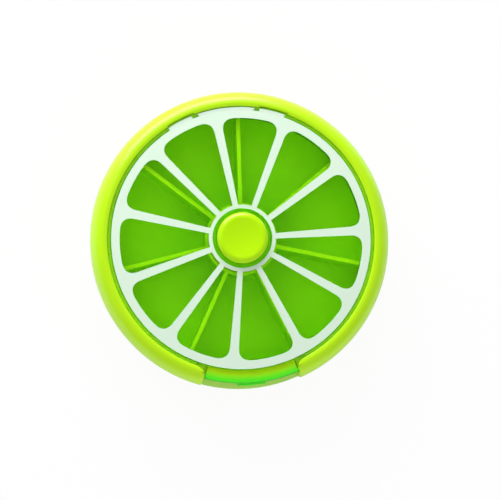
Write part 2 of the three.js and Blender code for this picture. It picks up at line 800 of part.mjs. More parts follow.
function makeStem() {
  const core = turned(
    [
      [0, stemBottom],
      [stemRadius, stemBottom],
      [stemRadius, stemShoulder],
      [neckRadius, stemShoulder],
      [neckRadius, capUnderside],
      [0, capUnderside],
    ],
    SMALL_ROUND,
  );
  const ribs = twistedPrism(
    ribbedOutline(stemRadius - STEM_WALL / 2, ribRadius, 0),
    stemBottom,
    stemShoulder - RIB_SPARE,
    stemBottom,
  );
  const bore = hexBar(stemBore, stemBottom - OVERRUN, stemBoreTop);
  return core.add(ribs).subtract(bore);
}

// A hexagonal bar on the axis, by its width across the flats.
function hexBar(width, bottom, top) {
  return rod((width / 2) * acrossCorners, bottom, top, HEX_SIDES);
}

function makeDriveWheel() {
  const body = rod(wheelRadius, wheelBottom, wheelTop, SMALL_ROUND);
  const slack = THREE.MathUtils.radToDeg(RUN_GAP / stemRadius);
  const groove = twistedPrism(
    ribbedOutline(stemRadius + RUN_GAP, grooveRadius, slack),
    wheelBottom - OVERRUN,
    wheelTop + OVERRUN,
    stemBottom,
  );
  return body.subtract(groove);
}

function makePawls() {
  const bandInner = wheelRadius + FIT_GAP;
  const bandOuter = bandInner + PAWL_BAND;
  const bottom = wheelBottom + PAWL_LIFT;
  const tipRadius = hubInner - TOOTH_HEIGHT / 2;
  let pawls = turned(
    ringProfile(bandInner, bandOuter, bottom, bottom + PAWL_HEIGHT),
    SMALL_ROUND,
  );
  for (const station of PAWL_STATIONS) {
    const tip = firstDivider + station * WELL_ANGLE - PAWL_TIP_GAP;
    const outer = [];
    const inner = [];
    for (let i = 0; i <= ARC_STEPS; i += 1) {
      const share = i / ARC_STEPS;
      const angle = tip - PAWL_ANGLE * (1 - share);
      const r = bandOuter - PAWL_BAND / 4 + (tipRadius - bandOuter) * share;
      outer.push(polar(r, angle));
      inner.push(polar(Math.max(r - PAWL_THICKNESS, bandInner + PAWL_BAND / 4), angle));
    }
    const outline = [...outer, ...inner.reverse()].reverse();
    pawls = pawls.add(prism(outline, bottom, bottom + PAWL_HEIGHT));
  }
  return pawls;
}

function makeSpindle() {
  const journal = rod(journalRadius, bossTop, wheelBottom, SMALL_ROUND);
  const post = hexBar(HEX_WIDTH, bossTop, spindleTop);
  const boreTop = bossTop - CENTER_FLOOR + CENTER_SCREW_LENGTH + SCREW_TIP_GAP;
  const bore = rod(CENTER_SCREW_RADIUS + FIT_GAP, bossTop - OVERRUN, boreTop);
  return journal.add(post).subtract(bore);
}

function makeButtonCap() {
  const top = lidTopAt(lidHole) + BUTTON_STAND;
  const rim = ellipseArc(
    BUTTON_RADIUS - BUTTON_ROUND,
    top - BUTTON_ROUND,
    BUTTON_ROUND,
    BUTTON_ROUND,
    0,
    90,
  );
  const dishRadius = BUTTON_RADIUS - BUTTON_ROUND;
  const dish = Array.from({ length: DISH_STEPS }, (_, i) => {
    const share = 1 - (i + 1) / DISH_STEPS;
    return [dishRadius * share, top - BUTTON_DISH * (1 - share * share)];
  });
  const inner = BUTTON_RADIUS - BUTTON_WALL;
  const cup = turned(
    [
      [0, capUnderside],
      [inner, capUnderside],
      [inner, flangeTop - FLANGE_THICKNESS],
      [flangeRadius, flangeTop - FLANGE_THICKNESS],
      [flangeRadius, flangeTop],
      [BUTTON_RADIUS, flangeTop],
      ...rim,
      ...dish,
    ],
    SMALL_ROUND,
  );
  const socket = turned(
    ringProfile(
      neckRadius + RUN_GAP,
      socketOuter,
      socketBottom,
      capUnderside + BUTTON_TOP / 2,
    ),
    SMALL_ROUND,
  );
  return cup.add(socket);
}

// The coil spring: one tube round a helix, with flat closed ends.
function makeSpring() {
  const sides = WIRE_SIDES;
  const steps = SPRING_TURNS * WIRE_STEPS;
  const low = wheelTop + SPRING_SEAT_GAP + SPRING_WIRE;
  const high = capUnderside - SPRING_SEAT_GAP - SPRING_WIRE;
  const positions = [];
  const index = [];
  for (let i = 0; i <= steps; i += 1) {
    const turn = (2 * Math.PI * i) / WIRE_STEPS;
    const z = low + ((high - low) * i) / steps;
    for (let j = 0; j < sides; j += 1) {
      const a = (2 * Math.PI * j) / sides;
      const r = springRadius + SPRING_WIRE * Math.cos(a);
      positions.push(r * Math.cos(turn), r * Math.sin(turn), z + SPRING_WIRE * Math.sin(a));
    }
  }
  for (let i = 0; i < steps; i += 1) {
    for (let j = 0; j < sides; j += 1) {
      const a = i * sides + j;
      const b = i * sides + ((j + 1) % sides);
      index.push(a, b, a + sides, b, b + sides, a + sides);
    }
  }
  const last = steps * sides;
  for (let j = 1; j < sides - 1; j += 1) {
    index.push(0, j + 1, j, last, last + j, last + j + 1);
  }
  const tube = new THREE.BufferGeometry();
  tube.setAttribute("position", new THREE.Float32BufferAttribute(positions, 3));
  tube.setIndex(index);
  const pitch = (high - low) / SPRING_TURNS;
  console.log(`return_spring: least gap between curls ${(pitch - 2 * SPRING_WIRE).toFixed(2)} mm`);
  return solidOf(tube);
}

// The leaf spring, bent from one strip: a flat foot, a ramp and a rounded bump.
function makeLeaf() {
  const bumpTop = trayBottom - RUN_GAP;
  const middle = floorTop + LEAF_THICKNESS / 2;
  const shoulder = trayBottom - ribDrop - RUN_GAP - LEAF_THICKNESS / 2;
  const bump = bumpTop - LEAF_THICKNESS / 2;
  const rampEnd = LEAF_BUMP_LENGTH / 2 + LEAF_RAMP_LENGTH;
  const flat = (LEAF_BUMP_LENGTH * LEAF_BUMP_FLAT_SHARE) / 2;
  const line = [
    [-LEAF_BUMP_LENGTH, middle + (shoulder - middle) / 2],
    [-LEAF_BUMP_LENGTH / 2, shoulder],
    [-flat, bump],
    [flat, bump],
    [LEAF_BUMP_LENGTH / 2, shoulder],
    [rampEnd, middle],
    [rampEnd + LEAF_FOOT_LENGTH, middle],
  ];
  const above = line.map(([y, z]) => new THREE.Vector2(y, z + LEAF_THICKNESS / 2));
  const below = line.map(([y, z]) => new THREE.Vector2(y, z - LEAF_THICKNESS / 2));
  const shape = new THREE.Shape([...below, ...above.reverse()]);
  const strip = solidOf(
    new THREE.ExtrudeGeometry(shape, { depth: LEAF_WIDTH, bevelEnabled: false })
      .rotateX(Math.PI / 2)
      .rotateZ(Math.PI / 2)
      .translate(leafRadius - LEAF_WIDTH / 2, 0, 0)
      .rotateZ(rad(leafAngle)),
  );
  const hole = rod(
    LEAF_SCREW_RADIUS + FIT_GAP,
    floorTop - OVERRUN,
    floorTop + OVERRUN,
    TINY_ROUND,
    leafScrewPlace,
  );
  return strip.subtract(hole);
}

// A screw whose head is below or above the face that it bears on.
function makeScrew(radius, length, head, headHeight, seat, headSide, place) {
  const shank = rod(radius, ...ordered(seat, seat - headSide * length), TINY_ROUND, place);
  const cap = rod(head, ...ordered(seat, seat + headSide * headHeight), TINY_ROUND, place);
  return shank.add(cap);
}

// Two heights, the lower one first.
function ordered(a, b) {
  return a < b ? [a, b] : [b, a];
}

add("base_shell", makeBase(), limeShell);
add("rim_ring", makeRing(), limeShell);
rimScrewPlaces.forEach((place, i) => {
  const screw = makeScrew(
    RIM_SCREW_RADIUS,
    RIM_SCREW_LENGTH,
    RIM_SCREW_HEAD,
    RIM_SCREW_HEAD_HEIGHT,
    rimSeat,
    -1,
    place,
  );
  add(`rim_screw_${i + 1}`, screw, screwSteel);
});
add("lid", makeLid(), clearGreen);
add("slice_print", makeFilm(), whiteInk);
add("exit_flap", makeFlap(), clearGreen);
add("tray", makeTray(), limeTray);
add("tray_washer", makeTrayWasher(), whitePlastic);
add("spindle", makeSpindle(), whitePlastic);
const centerSeat = bossTop - CENTER_FLOOR;
const centerWasher = ringProfile(
  CENTER_SCREW_RADIUS + FIT_GAP,
  CENTER_WASHER_RADIUS,
  centerSeat - CENTER_WASHER_THICKNESS,
  centerSeat,
);
add("center_washer", turned(centerWasher, SMALL_ROUND), screwSteel);
add(
  "center_screw",
  makeScrew(
    CENTER_SCREW_RADIUS,
    CENTER_SCREW_LENGTH,
    CENTER_SCREW_HEAD,
    CENTER_SCREW_HEAD_HEIGHT,
    centerSeat - CENTER_WASHER_THICKNESS,
    -1,
    [0, 0],
  ),
  screwSteel,
);
add("drive_wheel", makeDriveWheel(), whitePlastic);
add("pawl_ring", makePawls(), whitePlastic);
add("button_stem", makeStem(), whitePlastic);
add("button_cap", makeButtonCap(), limeButton);
add("return_spring", makeSpring(), springSteel);
add("click_spring", makeLeaf(), springSteel);
add(
  "click_spring_screw",
  makeScrew(
    LEAF_SCREW_RADIUS,
    LEAF_SCREW_LENGTH + LEAF_THICKNESS,
    LEAF_SCREW_HEAD,
    LEAF_SCREW_HEAD_HEIGHT,
    floorTop + LEAF_THICKNESS,
    1,
    leafScrewPlace,
  ),
  screwSteel,
);

export default organizer;
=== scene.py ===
import json
import math

import bpy
from mathutils import Matrix, Vector


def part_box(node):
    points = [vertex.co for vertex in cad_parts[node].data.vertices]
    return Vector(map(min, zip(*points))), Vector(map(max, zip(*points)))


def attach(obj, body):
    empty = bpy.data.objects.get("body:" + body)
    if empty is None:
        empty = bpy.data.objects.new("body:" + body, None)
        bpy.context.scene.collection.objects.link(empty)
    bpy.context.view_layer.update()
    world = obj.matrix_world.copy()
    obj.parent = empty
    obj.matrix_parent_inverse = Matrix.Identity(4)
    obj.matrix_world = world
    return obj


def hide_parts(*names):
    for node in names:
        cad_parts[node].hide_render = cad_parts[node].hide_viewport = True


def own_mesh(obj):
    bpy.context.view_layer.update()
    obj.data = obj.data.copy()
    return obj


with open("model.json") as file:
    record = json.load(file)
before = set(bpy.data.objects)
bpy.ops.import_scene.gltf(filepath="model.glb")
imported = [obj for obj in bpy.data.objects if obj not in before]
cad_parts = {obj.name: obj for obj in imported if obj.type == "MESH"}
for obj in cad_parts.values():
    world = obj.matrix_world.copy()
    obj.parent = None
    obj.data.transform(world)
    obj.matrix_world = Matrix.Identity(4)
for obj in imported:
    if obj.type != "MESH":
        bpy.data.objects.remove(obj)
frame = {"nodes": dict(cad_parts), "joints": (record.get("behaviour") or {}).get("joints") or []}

scene = bpy.context.scene
cad_nodes = frame["nodes"]
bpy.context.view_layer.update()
scene.view_settings.view_transform = "Standard"

# The camera looks down on the box and leans a little to its front left, as the photograph does.
# Its centre line passes beside the box's middle, so the box sits above and left of the centre.
IMAGE_SIDE = 500
SENSOR_MM = 36
VIEW_DISTANCE = 0.33
VIEW_LEAN = math.radians(6.1)
VIEW_SIDE = math.radians(217.7)
VIEW_UP = math.radians(85.8)
PIXELS_PER_METRE = 3292
MIDDLE_PIXEL = Vector((239.9, 240.9))
WIDEST_HEIGHT = 0.012
NEAREST_SEEN = 0.01
back = Vector((
    math.sin(VIEW_LEAN) * math.cos(VIEW_SIDE),
    math.sin(VIEW_LEAN) * math.sin(VIEW_SIDE),
    math.cos(VIEW_LEAN),
))
right = Vector((math.cos(VIEW_UP), math.sin(VIEW_UP), 0)).cross(back).normalized()
up = back.cross(right)
offset = (MIDDLE_PIXEL - Vector((IMAGE_SIDE, IMAGE_SIDE)) / 2) / PIXELS_PER_METRE
aim = Vector((0, 0, WIDEST_HEIGHT)) - right * offset.x + up * offset.y
camera_data = bpy.data.cameras.new("camera")
camera_data.sensor_width = SENSOR_MM
camera_data.lens = PIXELS_PER_METRE * VIEW_DISTANCE / IMAGE_SIDE * SENSOR_MM
camera_data.clip_start = NEAREST_SEEN
camera = bpy.data.objects.new("camera", camera_data)
scene.collection.objects.link(camera)
turn = Matrix((right, up, back)).transposed().to_4x4()
camera.matrix_world = Matrix.Translation(aim + back * VIEW_DISTANCE) @ turn
scene.camera = camera

# A Mix node's colour sockets go by their places, because its other sockets share their names.
MIX_START = 6
MIX_END = 7
MIX_RESULT = 2
WHITE = (1, 1, 1, 1)


def fill_inputs(tree, node, inputs):
    """Gives each named input a value, or links it to another node's output."""
    for socket, source in inputs.items():
        if isinstance(source, bpy.types.NodeSocket):
            tree.links.new(source, node.inputs[socket])
        else:
            node.inputs[socket].default_value = source


def add_node(tree, kind, inputs, operation=None):
    node = tree.nodes.new("ShaderNode" + kind)
    if operation:
        node.operation = operation
    fill_inputs(tree, node, inputs)
    return node


def calculate(tree, operation, first, second):
    return add_node(tree, "Math", {0: first, 1: second}, operation).outputs["Value"]


def ramp(tree, value, low, high, start=0, end=1):
    """A number that goes from start to end as a value goes from low to high, and no further."""
    mapping = add_node(tree, "MapRange", {
        "Value": value, "From Min": low, "From Max": high, "To Min": start, "To Max": end,
    })
    return mapping.outputs["Result"]


def mix_colors(tree, share, start, end):
    mixer = tree.nodes.new("ShaderNodeMix")
    mixer.data_type = "RGBA"
    fill_inputs(tree, mixer, {"Factor": share, MIX_START: start, MIX_END: end})
    return mixer.outputs[MIX_RESULT]


def mix_shaders(tree, share, first, second):
    return add_node(tree, "MixShader", {"Fac": share, 1: first, 2: second}).outputs["Shader"]


def axes(tree, kind):
    """The X, Y and Z of a texture coordinate of some kind, such as Object or Normal."""
    place = add_node(tree, "TexCoord", {})
    return add_node(tree, "SeparateXYZ", {"Vector": place.outputs[kind]}).outputs


def plan_radius(tree):
    """The distance from the box's axis."""
    place = add_node(tree, "TexCoord", {})
    plan = add_node(tree, "VectorMath", {0: place.outputs["Object"], 1: (1, 1, 0)}, "MULTIPLY")
    return add_node(tree, "VectorMath", {0: plan.outputs["Vector"]}, "LENGTH").outputs["Value"]


def seen_itself(tree):
    """1 where the camera sees something directly or through clear plastic, and 0 elsewhere."""
    rays = add_node(tree, "LightPath", {}).outputs
    return calculate(tree, "MAXIMUM", rays["Is Camera Ray"], rays["Is Transmission Ray"])


# Soft white light from all round, a wide softbox low behind the box, a little to its left, and a
# weak one in front. The camera and clear plastic see a white room. Gloss sees it darken upwards.
ROOM_LIGHT = 0.51
CEILING_GLOSS = 0.03
HORIZON_GLOSS = 0.25
CEILING_FROM = 0.9
world = bpy.data.worlds.new("studio")
scene.world = world
world.use_nodes = True
tree = world.node_tree
room = tree.nodes["Background"]
fill_inputs(tree, room, {"Color": WHITE, "Strength": ROOM_LIGHT})
plain = add_node(tree, "Background", {"Color": WHITE})
gloss = ramp(tree, axes(tree, "Generated")["Z"], 0, CEILING_FROM, HORIZON_GLOSS, CEILING_GLOSS)
mirrored_room = add_node(tree, "Background", {"Color": WHITE, "Strength": gloss})
lit = mix_shaders(
    tree,
    add_node(tree, "LightPath", {}).outputs["Is Glossy Ray"],
    room.outputs["Background"],
    mirrored_room.outputs["Background"],
)
shown = mix_shaders(tree, seen_itself(tree), lit, plain.outputs["Background"])
fill_inputs(tree, tree.nodes["World Output"], {"Surface": shown})


def softbox(name, place, width, height, power, mirrored):
    """A rectangular lamp that points at the box. Gloss shows it only if it is mirrored."""
    lamp = bpy.data.lights.new(name, "AREA")
    lamp.shape = "RECTANGLE"
    lamp.size = width
    lamp.size_y = height
    lamp.energy = power
    holder = bpy.data.objects.new(name, lamp)
    scene.collection.objects.link(holder)
    holder.location = place
    holder.rotation_mode = "QUATERNION"
    holder.rotation_quaternion = Vector(place).to_track_quat("Z", "Y")
    holder.visible_glossy = mirrored


softbox("key", (-0.2, 0.82, 0.36), width=1.0, height=0.6, power=12.2, mirrored=True)
softbox("fill", (0.1, -0.8, 0.36), width=0.8, height=0.5, power=2.4, mirrored=False)

# The floor is a plain white table that keeps a trace of the box's soft shadow.
FLOOR_SIZE = 6
FLOOR_WHITE = 0.9
FLOOR_ROUGHNESS = 0.9
FLOOR_GLOW = 0.93
bpy.ops.object.select_all(action="DESELECT")
bpy.ops.mesh.primitive_plane_add(size=FLOOR_SIZE, location=(0, 0, 0))
floor = bpy.context.object
floor.name = "floor"
floor_white = bpy.data.materials.new("floor_white")
floor_white.use_nodes = True
tree = floor_white.node_tree
table = tree.nodes["Principled BSDF"]
table_color = (FLOOR_WHITE, FLOOR_WHITE, FLOOR_WHITE, 1)
fill_inputs(tree, table, {"Base Color": table_color, "Roughness": FLOOR_ROUGHNESS})
glow = add_node(tree, "Emission", {})
share = calculate(tree, "MULTIPLY", seen_itself(tree), FLOOR_GLOW)
shown = mix_shaders(tree, share, table.outputs["BSDF"], glow.outputs["Emission"])
fill_inputs(tree, tree.nodes["Material Output"], {"Surface": shown})
floor.data.materials.append(floor_white)

# Every piece is drawn with the steps below, in metres, round the box's axis, which is Z. EDGE is
# the usual rounding of an edge, and OVERRUN is how far a tool reaches past what it cuts.
ROUND_STEPS = 180
POST_STEPS = 32
CURVE_STEPS = 12
CORNER_STEPS = 4
SWEEP_STEPS = 24
SMOOTH_ANGLE = math.radians(30)
BEVEL_ANGLE = math.radians(40)
BEVEL_SEGMENTS = 2
MERGE_DISTANCE = 1e-6
OVERRUN = 0.001
EDGE = 0.00025


def draw(name, points):
    """Starts a piece as one point and extrudes it along a chain. It stays in edit mode."""
    bpy.ops.object.select_all(action="DESELECT")
    bpy.ops.mesh.primitive_plane_add(size=OVERRUN)
    piece = bpy.context.object
    piece.name = name
    piece.data.name = name
    bpy.ops.object.mode_set(mode="EDIT")
    bpy.ops.mesh.merge(type="CENTER")
    bpy.ops.transform.translate(value=points[0])
    for here, there in zip(points, points[1:]):
        bpy.ops.mesh.extrude_vertices_move(TRANSFORM_OT_translate={"value": there - here})
    bpy.ops.mesh.select_all(action="SELECT")
    return piece


def close_up():
    """Merges what meets, turns every face outwards and leaves edit mode."""
    bpy.ops.mesh.select_all(action="SELECT")
    bpy.ops.mesh.remove_doubles(threshold=MERGE_DISTANCE)
    bpy.ops.mesh.normals_make_consistent(inside=False)
    bpy.ops.object.mode_set(mode="OBJECT")


def spin_up(name, profile, steps=ROUND_STEPS):
    """Spins a closed profile of (radius, height) points round the box's axis."""
    piece = draw(name, [Vector((r, 0, z)) for r, z in [*profile, profile[0]]])
    bpy.ops.mesh.spin(steps=steps, angle=2 * math.pi, center=(0, 0, 0), axis=(0, 0, 1))
    close_up()
    return piece


def sweep(name, profile, middle, half):
    """Spins a closed profile of (radius, height) points clockwise over part of a turn."""
    piece = draw(name, [around(r, 0, z, middle + half) for r, z in [*profile, profile[0]]])
    bpy.ops.mesh.remove_doubles(threshold=MERGE_DISTANCE)
    bpy.ops.mesh.edge_face_add()
    bpy.ops.mesh.spin(steps=SWEEP_STEPS, angle=2 * half, center=(0, 0, 0), axis=(0, 0, 1))
    close_up()
    return piece


def pull(name, outline, way):
    """Extrudes a closed outline of 3-D points along a way."""
    piece = draw(name, outline)
    bpy.ops.mesh.edge_face_add()
    bpy.ops.mesh.extrude_region_move(TRANSFORM_OT_translate={"value": way})
    close_up()
    return piece


def raise_up(name, outline, bottom, top):
    """Extrudes a plan outline from one height to another."""
    return pull(name, [Vector((x, y, bottom)) for x, y in outline], (0, 0, top - bottom))


def post(name, radius, bottom, top, place=(0, 0), steps=POST_STEPS):
    bpy.ops.object.select_all(action="DESELECT")
    middle = (place[0], place[1], (bottom + top) / 2)
    bpy.ops.mesh.primitive_cylinder_add(
        vertices=steps, radius=radius, depth=top - bottom, location=middle
    )
    piece = bpy.context.object
    piece.name = name
    bpy.ops.object.transform_apply(location=True, rotation=True, scale=True)
    return piece


def combine(piece, tool, operation):
    """Cuts, joins or intersects a piece with a tool, which is used up."""
    step = piece.modifiers.new(operation, "BOOLEAN")
    step.object = tool
    step.operation = operation
    step.solver = "EXACT"
    bpy.context.view_layer.objects.active = piece
    bpy.ops.object.modifier_apply(modifier=step.name)
    bpy.data.objects.remove(tool)


def soften(piece, width=0):
    """Rounds sharp edges by a width, if any, and smooths the shading between soft ones."""
    bpy.ops.object.select_all(action="DESELECT")
    piece.select_set(True)
    bpy.context.view_layer.objects.active = piece
    if width:
        bevel = piece.modifiers.new("edges", "BEVEL")
        bevel.width = width
        bevel.segments = BEVEL_SEGMENTS
        bevel.limit_method = "ANGLE"
        bevel.angle_limit = BEVEL_ANGLE
        bevel.use_clamp_overlap = False
        bpy.ops.object.modifier_apply(modifier=bevel.name)
    bpy.ops.object.shade_smooth_by_angle(angle=SMOOTH_ANGLE)


def around(x, y, z, angle):
    """A point of a piece that is drawn along +X, turned round the box's axis."""
    return Vector((
        x * math.cos(angle) - y * math.sin(angle), x * math.sin(angle) + y * math.cos(angle), z
    ))


def plan_around(points, angle):
    """Plan points that are drawn along +X, turned round the box's axis."""
    return [(p.x, p.y) for p in (around(x, y, 0, angle) for x, y in points)]


def polar(radius, angle):
    return (radius * math.cos(angle), radius * math.sin(angle))


def arc(radius, start, end, steps=CURVE_STEPS):
    """Plan points on a circle, from one angle to another."""
    return [polar(radius, start + (end - start) * i / steps) for i in range(steps + 1)]


def sector(inner, outside, middle, half):
    """The outline of part of a flat ring, half an angle to each side of its middle."""
    return [*arc(inner, middle - half, middle + half), *arc(outside, middle + half, middle - half)]


def ellipse(centre, reach, start, end, steps=CURVE_STEPS):
    """Points on an ellipse of (radius, height), from one angle to another in degrees."""
    angles = [math.radians(start + (end - start) * i / steps) for i in range(steps + 1)]
    return [
        (centre[0] + reach[0] * math.cos(a), centre[1] + reach[1] * math.sin(a)) for a in angles
    ]


def bend(start, corner, end, steps=CURVE_STEPS):
    """Points of a curve from start to end that rounds off the corner between them."""
    shares = [k / steps for k in range(steps + 1)]
    curve = [start * (1 - t) ** 2 + corner * 2 * t * (1 - t) + end * t ** 2 for t in shares]
    return [(p.x, p.y) for p in curve]


def rounded(corners):
    """A closed outline of (x, y, radius) corners, with each corner rounded by its radius."""
    points = []
    for i, (x, y, radius) in enumerate(corners):
        if not radius:
            points.append((x, y))
            continue
        here = Vector((x, y))
        before = Vector(corners[i - 1][:2]) - here
        after = Vector(corners[(i + 1) % len(corners)][:2]) - here
        reach = radius / math.tan(before.angle(after) / 2)
        start = here + before.normalized() * reach
        end = here + after.normalized() * reach
        points.extend(bend(start, here, end, CORNER_STEPS))
    return points


def sharp(points):
    """Corners for rounded() that stay as they are."""
    return [(x, y, 0) for x, y in points]


def srgb(red, green, blue):
    """A colour of the render, 0 to 255, as the shader's own values."""
    shares = [c / 255 for c in (red, green, blue)]
    return [c / 12.92 if c <= 0.04045 else ((c + 0.055) / 1.055) ** 2.4 for c in shares]


# The skin that all materials share: a slow drift of colour, and fine waves and changes of gloss.
DRIFT_SCALE = 45
DRIFT_DETAIL = 2
WAVE_SCALE = 1400
WAVE_DETAIL = 3
WAVE_DEPTH = 0.0001
MOTTLE_SCALE = 260
GLOSS_CHANGE = 0.05


def moulded_skin():
    """The skin's node group. It turns two colours and a roughness into what a surface shows."""
    group = bpy.data.node_groups.new("moulded_skin", "ShaderNodeTree")
    socket = group.interface.new_socket
    socket(name="Color", in_out="INPUT", socket_type="NodeSocketColor")
    socket(name="Deep Color", in_out="INPUT", socket_type="NodeSocketColor")
    socket(name="Roughness", in_out="INPUT", socket_type="NodeSocketFloat")
    socket(name="Color", in_out="OUTPUT", socket_type="NodeSocketColor")
    socket(name="Roughness", in_out="OUTPUT", socket_type="NodeSocketFloat")
    socket(name="Height", in_out="OUTPUT", socket_type="NodeSocketFloat")
    given = group.nodes.new("NodeGroupInput").outputs
    place = add_node(group, "TexCoord", {}).outputs["Object"]
    drift = add_node(
        group, "TexNoise", {"Vector": place, "Scale": DRIFT_SCALE, "Detail": DRIFT_DETAIL}
    )
    wave = add_node(
        group, "TexNoise", {"Vector": place, "Scale": WAVE_SCALE, "Detail": WAVE_DETAIL}
    )
    mottle = add_node(group, "TexNoise", {"Vector": place, "Scale": MOTTLE_SCALE})
    spread = ramp(group, mottle.outputs["Fac"], 0, 1, -GLOSS_CHANGE, GLOSS_CHANGE)
    fill_inputs(group, group.nodes.new("NodeGroupOutput"), {
        "Color": mix_colors(group, drift.outputs["Fac"], given["Color"], given["Deep Color"]),
        "Roughness": calculate(group, "ADD", given["Roughness"], spread),
        "Height": wave.outputs["Fac"],
    })
    return group


skin_group = moulded_skin()


def skinned(name, color, deep, roughness):
    """A material whose colour and gloss come from the skin, which varies them a little."""
    material = bpy.data.materials.new(name)
    material.use_nodes = True
    tree = material.node_tree
    skin = tree.nodes.new("ShaderNodeGroup")
    skin.name = "skin"
    skin.node_tree = skin_group
    fill_inputs(tree, skin, {
        "Color": (*color, 1), "Deep Color": (*deep, 1), "Roughness": roughness,
    })
    fill_inputs(tree, tree.nodes["Principled BSDF"], {
        "Base Color": skin.outputs["Color"], "Roughness": skin.outputs["Roughness"],
    })
    return material


def bump(tree, height, strength, depth):
    """Turns a height into the surface's relief."""
    relief = add_node(tree, "Bump", {"Strength": strength, "Distance": depth, "Height": height})
    fill_inputs(tree, tree.nodes["Principled BSDF"], {"Normal": relief.outputs["Normal"]})


def plastic(name, color, deep, roughness, waves=0.02, transmission=0.0, ior=1.5):
    """A moulded plastic, whose skin also drives a fine bump."""
    material = skinned(name, color, deep, roughness)
    tree = material.node_tree
    surface = tree.nodes["Principled BSDF"]
    fill_inputs(tree, surface, {"IOR": ior, "Transmission Weight": transmission})
    bump(tree, tree.nodes["skin"].outputs["Height"], waves, WAVE_DEPTH)
    return material


GRAIN_STRENGTH = 0.15
GRAIN_DEPTH = 0.00005
DULL_SHARE = 0.8


def metal(name, color, roughness, grain_scale):
    """Plated or drawn steel: fine grain in its height, over a slow change of tone and gloss."""
    material = skinned(name, color, [DULL_SHARE * c for c in color], roughness)
    tree = material.node_tree
    fill_inputs(tree, tree.nodes["Principled BSDF"], {"Metallic": 1})
    place = add_node(tree, "TexCoord", {}).outputs["Object"]
    grain = add_node(tree, "TexNoise", {"Vector": place, "Scale": grain_scale})
    bump(tree, grain.outputs["Fac"], GRAIN_STRENGTH, GRAIN_DEPTH)
    return material


def repaint(name, material):
    """Gives a piece that keeps its solid another material."""
    materials = cad_nodes[name].data.materials
    materials.clear()
    materials.append(material)


# The base is one moulding of glossy lime plastic: a bowl on a foot ring, with the tray's chamber
# wall, four screw bosses, a boss in the middle and the lip that the pills slide out over.
shell_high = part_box("base_shell")[1]
outer = shell_high.x
seam = shell_high.z
SHELL_WALL = 0.0018
FOOT_HEIGHT = 0.0012
FOOT_WIDTH = 0.0035
FOOT_ROUND = 0.0004
FOOT_FILLET = 0.0006
BOWL_REACH = 0.008
BOWL_TOP = 0.0068
FLOOR_TOP = 0.0032
FLOOR_FILLET = 0.0008
CHAMBER_WALL = 0.0014
CHAMBER_GAP = 0.00012
SCREW_RECESS_TOP = 0.003
RECESS_RADIUS = 0.0031
CENTRE_HOLE = 0.00105
BOSS_TOP = 0.0046
BOSS_RADIUS = 0.00793
BOSS_FILLET = 0.0005
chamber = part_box("tray")[1].x + CHAMBER_GAP
chamber_outside = chamber + CHAMBER_WALL
foot = outer - BOWL_REACH
bowl_depth = BOWL_TOP - FOOT_HEIGHT / 2
bowl = ellipse((foot, BOWL_TOP), (BOWL_REACH, bowl_depth), -90, 0)
hollow_curve = ellipse((foot, BOWL_TOP), (BOWL_REACH - SHELL_WALL, bowl_depth - SHELL_WALL), 0, -90)
hollow = [(r, z) for r, z in hollow_curve if r > chamber_outside]
base = spin_up("base_moulding", rounded([
    (CENTRE_HOLE, SCREW_RECESS_TOP, 0),
    (RECESS_RADIUS, SCREW_RECESS_TOP, 0),
    (RECESS_RADIUS, FOOT_HEIGHT, EDGE),
    (foot - FOOT_WIDTH, FOOT_HEIGHT, FOOT_FILLET),
    (foot - FOOT_WIDTH, 0, FOOT_ROUND),
    (foot, 0, FOOT_ROUND),
    *sharp(bowl[1:]),
    (outer, seam, EDGE),
    (outer - SHELL_WALL, seam, 0),
    *sharp(hollow),
    (chamber_outside, hollow[-1][1], 0),
    (chamber_outside, seam, 0),
    (chamber, seam, 0),
    (chamber, FLOOR_TOP, FLOOR_FILLET),
    (BOSS_RADIUS, FLOOR_TOP, BOSS_FILLET),
    (BOSS_RADIUS, BOSS_TOP, EDGE),
    (CENTRE_HOLE, BOSS_TOP, 0),
]))


def envelope():
    """The bowl's outside as a full solid, which trims what is joined to it."""
    return spin_up("envelope", [(0, 0), *bowl, (outer, seam), (0, seam)])


FRONT = math.radians(-90)
EXIT_HALF = math.radians(19.5)
LIP_TOP = 0.0069
LIP_WALL = 0.0015
lip_outline = sector(chamber - EDGE, outer + OVERRUN, FRONT, EXIT_HALF)
lip = raise_up("lip", lip_outline, LIP_TOP - LIP_WALL, LIP_TOP)
combine(lip, envelope(), "INTERSECT")
combine(base, lip, "UNION")
SCREW_CIRCLE = 0.0419
SCREW_PLACES = [Vector(p) for p in arc(SCREW_CIRCLE, math.radians(45), math.radians(315), 3)]
BOSS_WALL_RADIUS = 0.0026
HEAD_HOLE = 0.00175
SHANK_HOLE = 0.00105
HEAD_SEAT = 0.0056
for place in SCREW_PLACES:
    boss = post("boss", BOSS_WALL_RADIUS, FOOT_HEIGHT, seam, place)
    combine(boss, envelope(), "INTERSECT")
    combine(boss, post("chamber_space", chamber, 0, 2 * seam, steps=ROUND_STEPS), "DIFFERENCE")
    combine(base, boss, "UNION")
for place in SCREW_PLACES:
    combine(base, post("head_hole", HEAD_HOLE, -OVERRUN, HEAD_SEAT, place), "DIFFERENCE")
    combine(base, post("shank_hole", SHANK_HOLE, 0, 2 * seam, place), "DIFFERENCE")
exit_cut = sector(chamber - OVERRUN, outer + OVERRUN, FRONT, EXIT_HALF)
combine(base, raise_up("exit", exit_cut, LIP_TOP, seam + OVERRUN), "DIFFERENCE")
soften(base)

